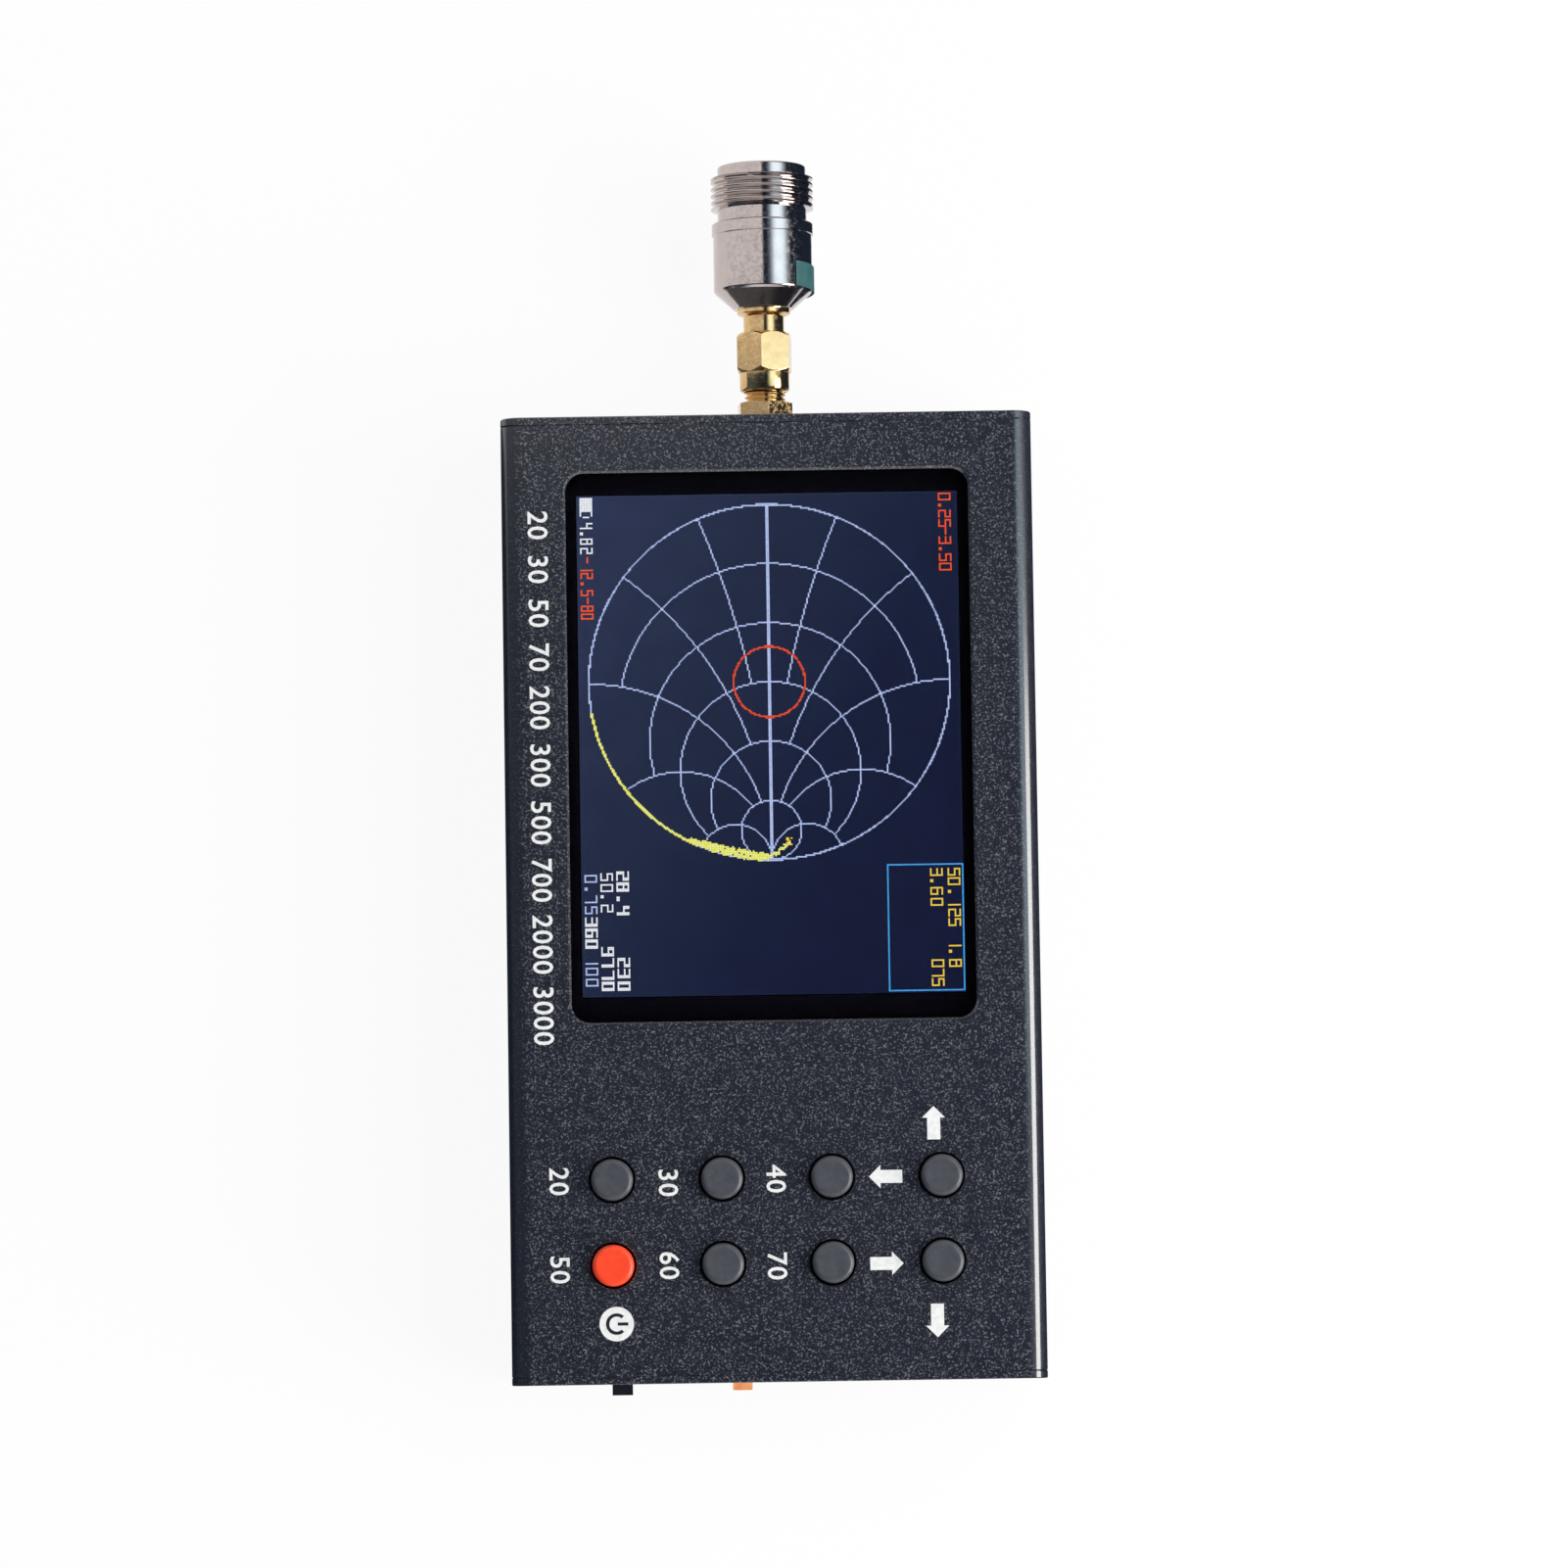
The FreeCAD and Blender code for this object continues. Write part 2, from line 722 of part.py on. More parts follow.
def make_charge_led():
    """A small round light: a domed body with a rim at its base and two leads bent up into the board."""
    tip = -plate_face_y - light_reach
    base = light_base_y()
    steps = [radians(angle) for angle in (0, 30, 60, 90)]
    dome = [(tip + light_radius - light_radius * cos(t), light_radius * sin(t)) for t in steps]
    profile = dome + [(base - light_flange_length, light_radius)]
    profile += [(base - light_flange_length, light_flange_radius), (base, light_flange_radius), (base, 0)]
    light = turned(profile, light_x, light_z)
    half = light_lead / 2
    for x in (light_x - light_lead_pitch / 2, light_x + light_lead_pitch / 2):
        run = box(x - half, x + half, base - half, light_leg_y() + half, light_z - half, light_z + half)
        rise = box(x - half, x + half, light_leg_y() - half, light_leg_y() + half, light_z, board_top + leg_stand)
        light = light.fuse(run).fuse(rise)
    return light.removeSplitter()


def make_led_holder():
    base = light_base_y()
    block = box(light_x - light_holder_width / 2, light_x + light_holder_width / 2, base,
                base + light_holder_length, board_bottom - light_holder_height, board_bottom)
    half = light_lead / 2 + same_body_gap
    for x in (light_x - light_lead_pitch / 2, light_x + light_lead_pitch / 2):
        groove = box(x - half, x + half, base, light_leg_y() + half, light_z - half, board_bottom)
        block = block.cut(groove)
    return block


def make_usb_shell():
    half = socket_width / 2
    front = -plate_face_y + end_plate_thickness / 2
    back = front + socket_length
    low = board_bottom - socket_height
    shell = bar(socket_x - half, socket_x + half, low, board_bottom, front, back, socket_corner)
    inside = (socket_x - half + socket_sheet, socket_x + half - socket_sheet)
    height = (low + socket_sheet, board_bottom - socket_sheet)
    corner = socket_corner - socket_sheet
    return shell.cut(bar(*inside, *height, front, back - socket_sheet, corner))


def make_usb_tongue():
    front = -plate_face_y + end_plate_thickness / 2
    back = front + socket_length - socket_sheet
    middle = board_bottom - socket_height / 2
    half = socket_width / 2 - socket_corner - same_body_gap
    reach = socket_height / 2 - socket_sheet - same_body_gap
    base = box(socket_x - half, socket_x + half, back - tongue_base_length, back, middle - reach, middle + reach)
    half = tongue_plate_width / 2
    reach = tongue_plate_thickness / 2
    plate = (socket_x - half, socket_x + half, front + tongue_end_gap, back - tongue_base_length)
    return base.fuse(box(*plate, middle - reach, middle + reach))


def make_sma_jack():
    """A right-angle jack: a block on the underside of the board with a threaded barrel along Y."""
    half = jack_block_width / 2
    block = box(-half, half, jack_back, jack_front, jack_z - half, board_bottom)
    relief = jack_end - jack_thread_relief
    barrel = [(jack_front, 0), (jack_front, jack_barrel_radius), (relief, jack_barrel_radius)]
    barrel += [(jack_end, jack_barrel_radius - jack_thread_relief), (jack_end, 0)]
    jack = block.fuse(turned(barrel)).removeSplitter()
    pocket_end = jack_back + jack_pocket_length
    jack = jack.cut(rod(0, jack_z, pocket_end, jack_end, dielectric_radius + same_body_gap))
    jack = jack.cut(rod(0, jack_z, jack_plane, jack_end, jack_bore_radius))
    half = jack_pocket_width / 2
    jack = jack.cut(box(-half, half, jack_back, pocket_end, jack_z - half, board_bottom))
    for x in (-jack_leg_pitch / 2, jack_leg_pitch / 2):
        for y in (jack_leg_y - jack_leg_pitch / 2, jack_leg_y + jack_leg_pitch / 2):
            jack = jack.fuse(post(x, y, board_bottom, board_top + leg_stand, jack_leg_radius))
    return jack


def make_sma_jack_insulator():
    start = jack_back + jack_pocket_length
    sleeve = rod(0, jack_z, start, jack_plane, dielectric_radius)
    return sleeve.cut(rod(0, jack_z, start, jack_plane, contact_radius + same_body_gap))


def make_sma_jack_contact():
    pin = rod(0, jack_z, contact_leg_y, jack_plane, contact_radius)
    pin = pin.fuse(post(0, contact_leg_y, jack_z, board_top + leg_stand, contact_radius))
    return pin.cut(rod(0, jack_z, jack_plane - contact_bore_depth, jack_plane, contact_bore_radius))


def make_sma_lock_washer():
    start = plate_face_y
    ring = rod(0, jack_z, start, start + washer_thickness, washer_radius)
    ring = ring.cut(rod(0, jack_z, start, start + washer_thickness, jack_barrel_radius + same_body_gap))
    slit = (-washer_slit / 2, washer_slit / 2, start, start + washer_thickness)
    return ring.cut(box(*slit, jack_z - washer_radius, jack_z))


def make_sma_panel_nut():
    start = plate_face_y + washer_thickness
    end = start + panel_nut_length
    nut = hexagon(panel_nut_across, start, end, panel_nut_turn, nut_chamfer)
    return nut.cut(rod(0, jack_z, start, end, jack_barrel_radius + same_body_gap))


def make_coupling_nut():
    """The nut turns on the sleeve: a round skirt, a hexagon, and an inner wall that the snap ring holds."""
    skirt = [(nut_start, 0), (nut_start, nut_skirt_radius - nut_chamfer / 2)]
    skirt += [(nut_start + nut_chamfer / 2, nut_skirt_radius), (nut_skirt_end, nut_skirt_radius)]
    skirt += [(nut_skirt_end, 0)]
    nut = turned(skirt).fuse(hexagon(nut_across, nut_skirt_end, nut_end, nut_turn, nut_chamfer))
    nut = nut.cut(rod(0, jack_z, nut_start, nut_wall_start, nut_bore_radius))
    nut = nut.cut(rod(0, jack_z, nut_wall_start, nut_end, sleeve_neck_radius + nut_running_gap))
    groove = (ring_start - nut_running_gap, ring_end + nut_running_gap)
    return nut.cut(rod(0, jack_z, *groove, ring_outer_radius + nut_running_gap))


def make_adapter_sleeve():
    bore = dielectric_radius + same_body_gap
    groove = ring_inner_radius - same_body_gap
    profile = [
        (sleeve_start, bore),
        (sleeve_start, sleeve_tube_radius),
        (seal_end, sleeve_tube_radius),
        (seal_end, seal_radius),
        (sleeve_flange_end, seal_radius),
        (sleeve_flange_end, sleeve_neck_radius),
        (ring_start - same_body_gap, sleeve_neck_radius),
        (ring_start - same_body_gap, groove),
        (ring_end + same_body_gap, groove),
        (ring_end + same_body_gap, sleeve_neck_radius),
        (shoulder_start, sleeve_neck_radius),
        (shoulder_start, sleeve_shoulder_radius),
        (shoulder_end, sleeve_shoulder_radius),
        (shoulder_end, sleeve_collar_radius),
        (shell_start, sleeve_collar_radius),
        (shell_start, sleeve_stub_radius),
        (sleeve_end, sleeve_stub_radius),
        (sleeve_end, bore),
    ]
    return turned(profile)


def make_nut_snap_ring():
    ring = rod(0, jack_z, ring_start, ring_end, ring_outer_radius)
    ring = ring.cut(rod(0, jack_z, ring_start, ring_end, ring_inner_radius))
    slit = (-ring_slit / 2, ring_slit / 2, ring_start, ring_end)
    return ring.cut(box(*slit, jack_z, jack_z + ring_outer_radius))


def make_sma_gasket():
    ring = rod(0, jack_z, seal_start, seal_end, seal_radius)
    return ring.cut(rod(0, jack_z, seal_start, seal_end, sleeve_tube_radius + same_body_gap))


def make_sma_insulator():
    bead = rod(0, jack_z, sleeve_start, sleeve_end, dielectric_radius)
    return bead.cut(rod(0, jack_z, sleeve_start, sleeve_end, contact_radius + same_body_gap))


def make_sma_pin():
    tip = sleeve_start - pin_reach
    profile = [
        (tip, 0),
        (tip, pin_radius - pin_point / 2),
        (tip + pin_point, pin_radius),
        (sleeve_start, pin_radius),
        (sleeve_start, contact_radius),
        (sleeve_end, contact_radius),
        (sleeve_end, 0),
    ]
    return turned(profile)


def make_n_shell():
    """The large socket's shell: cone, plain body, groove, thread barrel and lip, bored right through."""
    stub_bore = sleeve_stub_radius + same_body_gap
    insulator_bore = insulator_radius + same_body_gap
    profile = [
        (shell_start, stub_bore),
        (shell_start, shell_cone_radius),
        (shell_cone_end, shell_body_radius),
        (shell_body_end - shell_band_length, shell_body_radius),
        (shell_body_end - shell_band_length, shell_band_radius),
        (shell_body_end - shell_edge, shell_band_radius),
        (shell_body_end, shell_band_radius - shell_edge),
        (shell_body_end, shell_groove_radius),
        (shell_groove_end, shell_groove_radius),
        (shell_groove_end, shell_thread_radius),
        (shell_thread_end, shell_thread_radius),
        (shell_thread_end, shell_lip_radius),
        (shell_end - shell_edge, shell_lip_radius),
        (shell_end, shell_lip_radius - shell_edge),
        (shell_end, socket_bore_radius + shell_edge),
        (shell_end - shell_edge, socket_bore_radius),
        (socket_floor, socket_bore_radius),
        (socket_floor, insulator_bore),
        (sleeve_end, insulator_bore),
        (sleeve_end, stub_bore),
    ]
    return turned(profile)


def make_n_insulator():
    small = contact_radius + same_body_gap
    large = large_contact_radius + same_body_gap
    profile = [
        (sleeve_end, small),
        (sleeve_end, insulator_radius),
        (socket_floor, insulator_radius),
        (socket_floor, large),
        (large_contact_tail, large),
        (large_contact_tail, small),
    ]
    return turned(profile)


def make_n_contact():
    """A slotted spring socket with a thin tail that meets the pin."""
    floor = large_contact_tip - large_contact_bore_depth
    profile = [
        (sleeve_end, 0),
        (sleeve_end, contact_radius),
        (large_contact_tail, contact_radius),
        (large_contact_tail, large_contact_radius),
        (large_contact_tip, large_contact_radius),
        (large_contact_tip, large_contact_bore_radius),
        (floor, large_contact_bore_radius),
        (floor, 0),
    ]
    contact = turned(profile)
    half = large_contact_slot / 2
    start = large_contact_tip - large_contact_slot_depth
    reach = large_contact_radius
    contact = contact.cut(box(-reach, reach, start, large_contact_tip, jack_z - half, jack_z + half))
    return contact.cut(box(-half, half, start, large_contact_tip, jack_z - reach, jack_z + reach))


def key_names():
    """Every key's name with its place: upper and lower row, and the red one at the lower left."""
    names = []
    for row, y in zip(("upper", "lower"), row_y):
        for number, x in enumerate(column_x, 1):
            is_red = row == "lower" and number == 1
            names.append(("red_key" if is_red else f"{row}_key_{number}", x, y))
    return names


def save(name, shape):
    """Write one node, after checking that every solid in it is closed and valid."""
    if not shape.isValid():
        raise ValueError(name + " is not valid")
    solids = shape.Solids
    shape = solids[0] if len(solids) == 1 else Part.makeCompound(solids)
    shape.exportStep("parts/" + name + ".step")
    print(name, len(solids), "solids", round(shape.Volume, 2), "mm3")


makers = {
    "front_case": make_front_case,
    "back_case": make_back_case,
    "connector_end_plate": make_connector_end_plate,
    "switch_end_plate": make_switch_end_plate,
    "connector_end_screws": lambda: make_end_screws(1),
    "switch_end_screws": lambda: make_end_screws(-1),
    "display_lens": make_display_lens,
    "lens_gasket": make_lens_gasket,
    "lcd_frame": make_lcd_frame,
    "lcd_glass": make_lcd_glass,
    "backlight_plate": make_backlight_plate,
    "display_foam_pad": make_display_foam_pad,
    "lcd_ribbon": make_lcd_ribbon,
    "display_connector": make_display_connector,
    "main_board": make_main_board,
    "rf_shield_can": make_rf_shield_can,
    "board_chips": make_board_chips,
    "battery_connector": make_battery_connector,
    "battery_cell": make_battery_cell,
    "battery_pad": make_battery_pad,
    "button_switches": make_button_switches,
    "slide_switch_body": make_slide_switch_body,
    "slide_switch_lever": make_slide_switch_lever,
    "charge_led": make_charge_led,
    "led_holder": make_led_holder,
    "usb_shell": make_usb_shell,
    "usb_tongue": make_usb_tongue,
    "sma_jack": make_sma_jack,
    "sma_jack_insulator": make_sma_jack_insulator,
    "sma_jack_contact": make_sma_jack_contact,
    "sma_lock_washer": make_sma_lock_washer,
    "sma_panel_nut": make_sma_panel_nut,
    "coupling_nut": make_coupling_nut,
    "adapter_sleeve": make_adapter_sleeve,
    "nut_snap_ring": make_nut_snap_ring,
    "sma_gasket": make_sma_gasket,
    "sma_insulator": make_sma_insulator,
    "sma_pin": make_sma_pin,
    "n_shell": make_n_shell,
    "n_insulator": make_n_insulator,
    "n_contact": make_n_contact,
}

os.makedirs("parts", exist_ok=True)
for name, maker in makers.items():
    save(name, maker())
for name, x, y in key_names():
    save(name, make_cap(x, y))
    save(name.replace("key", "plunger"), make_plunger(x, y))
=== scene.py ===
# %% [markdown]
# # A handheld antenna analyzer, dressed for its portrait
# The imported model already holds every piece at its real size. This notebook gives the pieces their
# finishes, cuts the real threads, lights up the display, and prints the marks. Lengths are metres, +Z points
# out of the display, +Y towards the coaxial connector, and nothing that the model holds is moved or resized.

# %% Load the frame and read the boxes of its parts
import json

import bmesh
import bpy
import numpy as np
from mathutils import Euler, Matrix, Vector


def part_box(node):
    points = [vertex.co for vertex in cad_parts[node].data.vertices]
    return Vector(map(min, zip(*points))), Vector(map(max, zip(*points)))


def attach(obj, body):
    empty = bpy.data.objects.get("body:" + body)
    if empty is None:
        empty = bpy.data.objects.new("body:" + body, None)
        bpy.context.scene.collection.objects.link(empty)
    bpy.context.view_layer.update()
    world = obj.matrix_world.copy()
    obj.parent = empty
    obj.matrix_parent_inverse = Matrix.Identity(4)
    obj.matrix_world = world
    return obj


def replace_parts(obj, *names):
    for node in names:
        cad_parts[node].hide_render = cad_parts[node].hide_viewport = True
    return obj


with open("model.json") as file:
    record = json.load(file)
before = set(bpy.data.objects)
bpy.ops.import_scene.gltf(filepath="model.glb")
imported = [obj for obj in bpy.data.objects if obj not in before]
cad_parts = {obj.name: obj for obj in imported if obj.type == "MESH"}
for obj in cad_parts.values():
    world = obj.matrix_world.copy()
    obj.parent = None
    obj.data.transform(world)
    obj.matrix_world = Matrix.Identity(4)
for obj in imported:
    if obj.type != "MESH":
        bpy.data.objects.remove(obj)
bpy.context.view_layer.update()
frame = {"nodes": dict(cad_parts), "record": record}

MM = 0.001
INCH = 0.0254
rng = np.random.default_rng(7)
record = frame["record"]
body_of_node = {node: body for body, nodes in record["behaviour"]["bodies"].items() for node in nodes}
slot_of_node = {row["node"]: row["material_slot"] for row in record["subparts"]}
print("nodes in the frame:", len(frame["nodes"]))

# %% [markdown]
# The frame gives every other place: the flat front of the case, its plates, and the middle line of the jack.
# Reading them, rather than typing them again, keeps each print and thread on the piece that carries it.

# %% Places read from the frame
case_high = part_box("front_case")[1]
front_z = case_high.z
plate_face_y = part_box("connector_end_plate")[1].y
shell_low, shell_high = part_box("n_shell")
axis_z = (shell_low.z + shell_high.z) / 2
jack_low, jack_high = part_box("sma_jack")
lens_low, lens_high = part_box("display_lens")
glass_low, glass_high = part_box("lcd_glass")
print("front at", round(front_z / MM, 2), "mm, jack axis at", round(axis_z / MM, 2), "mm")

# %% [markdown]
# The camera comes first, because every later choice is judged through it. A short telephoto about a metre
# above the display shows the front almost square on, with the connector end leaning slightly away. Its place
# and turn were solved from the case corners, the keys and the connector, so the proportions agree.

# %% Camera
FRAME_PIXELS = 1601
FOCAL_PIXELS = 6723.0
SENSOR_MM = 36.0
camera_data = bpy.data.cameras.new("camera")
camera_data.sensor_width = SENSOR_MM
camera_data.sensor_height = SENSOR_MM
camera_data.lens = FOCAL_PIXELS / FRAME_PIXELS * SENSOR_MM
camera_data.clip_start = 0.05
camera_data.clip_end = 20.0
camera = bpy.data.objects.new("camera", camera_data)
camera.location = (-0.00048, -0.05835, 1.02335)
camera.rotation_euler = Euler((0.0754, -0.0013, -0.0155), "XYZ")
bpy.context.scene.collection.objects.link(camera)
bpy.context.scene.camera = camera
bpy.context.scene.view_settings.view_transform = "Standard"

# %% [markdown]
# Every finish is a small node tree. One helper makes the tree with its shader, and the others add one node
# each, linked, so that a finish reads as a few lines. Noise is read in Object coordinates, which are metres
# here, so a scale of 4000 means a grain of a quarter of a millimetre wherever the piece lies.

# %% Material helpers
def colour(red, green, blue):
    """Turn an 8-bit sRGB colour into the linear values that a shader takes."""
    values = np.array([red, green, blue], float) / 255.0
    linear = np.where(values <= 0.04045, values / 12.92, ((values + 0.055) / 1.055) ** 2.4)
    return (*[float(v) for v in linear], 1.0)


def new_material(name, **settings):
    """A material with one Principled shader, whose named sockets are set to the given constants."""
    material = bpy.data.materials.new(name)
    material.use_nodes = True
    shader = material.node_tree.nodes["Principled BSDF"]
    for socket, value in settings.items():
        shader.inputs[socket.replace("_", " ").title().replace("Ior", "IOR")].default_value = value
    return material, material.node_tree, shader


def noise(tree, scale, detail=2.0, roughness=0.5):
    """Noise read in Object coordinates."""
    texture = tree.nodes.new("ShaderNodeTexNoise")
    texture.inputs["Scale"].default_value = scale
    texture.inputs["Detail"].default_value = detail
    texture.inputs["Roughness"].default_value = roughness
    tree.links.new(tree.nodes.new("ShaderNodeTexCoord").outputs["Object"], texture.inputs["Vector"])
    return texture.outputs["Fac"]


def axis(tree, letter, coordinates="Object"):
    """One of the coordinates X, Y and Z."""
    split = tree.nodes.new("ShaderNodeSeparateXYZ")
    tree.links.new(tree.nodes.new("ShaderNodeTexCoord").outputs[coordinates], split.inputs[0])
    return split.outputs[letter]


def math_node(tree, operation, *values):
    """A Math node; each value is a constant or the output of another node."""
    node = tree.nodes.new("ShaderNodeMath")
    node.operation = operation
    for socket, value in zip(node.inputs, values):
        if isinstance(value, bpy.types.NodeSocket):
            tree.links.new(value, socket)
        else:
            socket.default_value = value
    return node.outputs[0]


def ruler(tree, value, low, high, start=0.0, end=1.0):
    """Carry a value from the range low to high onto the range start to end, and hold it at both ends."""
    node = tree.nodes.new("ShaderNodeMapRange")
    tree.links.new(value, node.inputs["Value"])
    for socket, limit in zip(("From Min", "From Max", "To Min", "To Max"), (low, high, start, end)):
        node.inputs[socket].default_value = limit
    return node.outputs["Result"]


def mixed(tree, share, first, second, blend="MIX"):
    """A colour between two others, by a share. Each is a constant or the output of another node."""
    node = tree.nodes.new("ShaderNodeMix")
    node.data_type = "RGBA"
    node.blend_type = blend
    for number, value in ((0, share), (6, first), (7, second)):
        if isinstance(value, bpy.types.NodeSocket):
            tree.links.new(value, node.inputs[number])
        else:
            node.inputs[number].default_value = value
    return node.outputs[2]


def ramp(tree, source, stops):
    """A colour ramp through (position, colour) stops."""
    node = tree.nodes.new("ShaderNodeValToRGB")
    while len(node.color_ramp.elements) < len(stops):
        node.color_ramp.elements.new(0.5)
    for element, (position, value) in zip(node.color_ramp.elements, stops):
        element.position = position
        element.color = value
    tree.links.new(source, node.inputs["Fac"])
    return node.outputs["Color"]


def add_bump(tree, shader, height, strength, distance):
    """Tilt the shading as if the surface rose by the height times the distance."""
    bump = tree.nodes.new("ShaderNodeBump")
    bump.inputs["Strength"].default_value = strength
    bump.inputs["Distance"].default_value = distance
    tree.links.new(height, bump.inputs["Height"])
    tree.links.new(bump.outputs["Normal"], shader.inputs["Normal"])


def grey(value):
    return (value, value, value, 1.0)


# %% [markdown]
# The case is powder coated: a dark blue-grey film that melted into tiny beads, with paler specks in it.
# One noise makes the beads as bump, and a second, thresholded, makes the specks: partly the pale grains of
# the coat, partly painted glints of the beads. Where the sheet bends over the long edges the film stretches
# and lies smoother, so both fade out there. A thin clear coat over it, without the bump, draws the crisp
# line of light along the bend. Noise stays sharp at any distance, which a painted image would not.

# %% Powder coat
def powder_coat():
    """Beads, and pale specks that are partly grains and partly painted glints, fading on the bends along
    both sides, by the distance from the middle line.
    """
    material, tree, shader = new_material(
        "powder_coat", roughness=0.42, specular_ior_level=0.3,
        coat_weight=0.8, coat_roughness=0.12, coat_ior=1.8,
    )
    distance = math_node(tree, "ABSOLUTE", axis(tree, "X"))
    fade = ruler(tree, distance, case_high.x - 3.2 * MM, case_high.x - 2.0 * MM, 1.0, 0.2)
    body = ramp(tree, noise(tree, 500, 3), [(0.35, colour(19, 22, 32)), (0.65, colour(25, 26, 37))])
    # Pale specks: partly the coat's own grains, partly painted glints of the beads.
    grains_and_glints = ramp(tree, noise(tree, 3100, 2.5, 0.7), [(0.54, grey(0.0)), (0.66, grey(1.0))])
    paint = mixed(tree, math_node(tree, "MULTIPLY", grains_and_glints, fade), body, colour(116, 117, 124))
    tree.links.new(paint, shader.inputs["Base Color"])
    add_bump(tree, shader, math_node(tree, "MULTIPLY", noise(tree, 2600, 3), fade), 0.9, 0.00007)
    return material


# %% [markdown]
# The connector is plated. All its metals are the same idea: a full metal with a blotchy roughness from
# handling and a very fine bump. Only colour and polish differ, so one function makes nickel, gold and tin,
# and the threads catch the light by their real shape.

# %% Plated metals
def plated(name, tint, deep_tint, low_rough, high_rough):
    material, tree, shader = new_material(name, metallic=1.0)
    metal = ramp(tree, noise(tree, 420, 4), [(0.3, colour(*deep_tint)), (0.7, colour(*tint))])
    tree.links.new(metal, shader.inputs["Base Color"])
    rough = ramp(tree, noise(tree, 1470, 5, 0.65), [(0.44, grey(low_rough)), (0.60, grey(high_rough))])
    tree.links.new(rough, shader.inputs["Roughness"])
    add_bump(tree, shader, noise(tree, 2200, 4, 0.7), 0.22, 0.00002)
    return material


# %% [markdown]
# The rest is moulded, pressed or printed stock, which two close tints and a fine bump describe well enough.
# What glows has no colour of its own, only light, so that the lamps cannot wash it out.

# %% Plastics, rubbers and glowing things
def moulded(name, low, high, roughness=0.5, scale=1200, bump=0.15, depth=0.00003, **settings):
    """A moulded or pressed material: two close tints mottled together over a fine bump."""
    material, tree, shader = new_material(name, roughness=roughness, **settings)
    tints = ramp(tree, noise(tree, scale, 3), [(0.3, colour(*low)), (0.7, colour(*high))])
    tree.links.new(tints, shader.inputs["Base Color"])
    add_bump(tree, shader, noise(tree, scale * 2.5, 2), bump, depth)
    return material


def glowing(name, strength=1.0):
    material, tree, shader = new_material(
        name, roughness=0.4, emission_strength=strength, specular_ior_level=0.0, base_color=grey(0.0),
    )
    return material, tree, shader.inputs["Emission Color"]


def lit(name, low, high, strength, scale=4000):
    """A glowing cell or lamp: its own light, faintly uneven from cell to cell."""
    material, tree, glow = glowing(name, strength)
    tints = ramp(tree, noise(tree, scale, 0), [(0.25, colour(*low)), (0.75, colour(*high))])
    tree.links.new(tints, glow)
    return material


# %% [markdown]
# The unlit panel still glows a little: deep blue, paler towards the top left corner. The tint follows x less
# a share of y, GLOW_LEAN, and is mottled faintly by noise.

# %% Panel glow
GLOW_LEAN = 0.55


def panel_glow():
    material, tree, glow = glowing("panel_glow")
    slant = math_node(tree, "MULTIPLY_ADD", axis(tree, "Y"), -GLOW_LEAN, axis(tree, "X"))
    top_left = glass_low.x - GLOW_LEAN * glass_high.y
    bottom_right = glass_high.x - GLOW_LEAN * glass_low.y
    tint = ramp(tree, ruler(tree, slant, top_left, bottom_right), [
        (0.0, colour(50, 59, 90)), (0.28, colour(40, 48, 74)),
        (0.6, colour(26, 33, 60)), (1.0, colour(20, 25, 54)),
    ])
    mottle = ramp(tree, noise(tree, 150, 2), [(0.3, grey(0.88)), (0.7, grey(1.0))])
    tree.links.new(mixed(tree, 1.0, tint, mottle, "MULTIPLY"), glow)
    return material


# %% [markdown]
# The window is clear sheet with a black border printed on its underside. A real glass shader shows the depth
# between the case, the sheet and the display, which a transparent shader would hide.

# %% Window sheet
def clear_sheet():
    material, tree, shader = new_material("clear_sheet", roughness=0.02, transmission_weight=1.0, ior=1.08)
    tint = ramp(tree, noise(tree, 300, 2), [(0.3, grey(0.97)), (0.7, grey(1.0))])
    tree.links.new(tint, shader.inputs["Base Color"])
    return material


# %% [markdown]
# Two tables hold the finishes, under the slot names of the model. A plated row gives two tints and the least
# and greatest roughness. A moulded row gives two tints, the roughness, and where it matters the scale of the
# mottling and the strength and depth of the bump.

# %% Finishes
PLATED = {
    "screw_steel": ((190, 190, 195), (160, 160, 166), 0.22, 0.4),
    "bezel_steel": ((170, 170, 172), (150, 150, 150), 0.3, 0.5),
    "shield_tin": ((198, 198, 194), (172, 172, 170), 0.25, 0.45),
    "battery_foil": ((190, 190, 196), (165, 165, 172), 0.35, 0.5),
    "switch_steel": ((190, 190, 190), (168, 168, 170), 0.25, 0.4),
    "gold": ((224, 190, 140), (212, 174, 120), 0.08, 0.20),
    "nickel": ((197, 186, 182), (188, 176, 172), 0.06, 0.18),
    "spring_bronze": ((196, 150, 104), (172, 128, 86), 0.25, 0.4),
}
MOULDED = {
    "backlight_white": ((225, 225, 228), (235, 235, 236), 0.4),
    "foam_grey": ((60, 60, 62), (80, 80, 82), 0.9, 1500, 0.6, 0.0001),
    "ribbon_film": ((140, 80, 30), (165, 98, 42), 0.3),
    "socket_plastic": ((38, 38, 40), (50, 50, 52), 0.45),
    "board_green": ((18, 74, 44), (26, 92, 56), 0.35),
    "chip_black": ((28, 28, 30), (40, 40, 42), 0.6),
    "switch_plastic": ((24, 24, 26), (34, 34, 36), 0.5),
    "lever_plastic": ((20, 22, 32), (28, 30, 42), 0.4),
    "dielectric": ((232, 231, 226), (240, 240, 236), 0.45),
    "seal_red": ((150, 46, 30), (172, 56, 38), 0.6),
    "key_black": ((66, 67, 73), (76, 77, 83), 0.34, 900, 0.10),
    "key_red": ((252, 66, 32), (255, 76, 40), 0.32, 900, 0.10),
    "plunger_plastic": ((30, 30, 32), (42, 42, 44), 0.5),
}
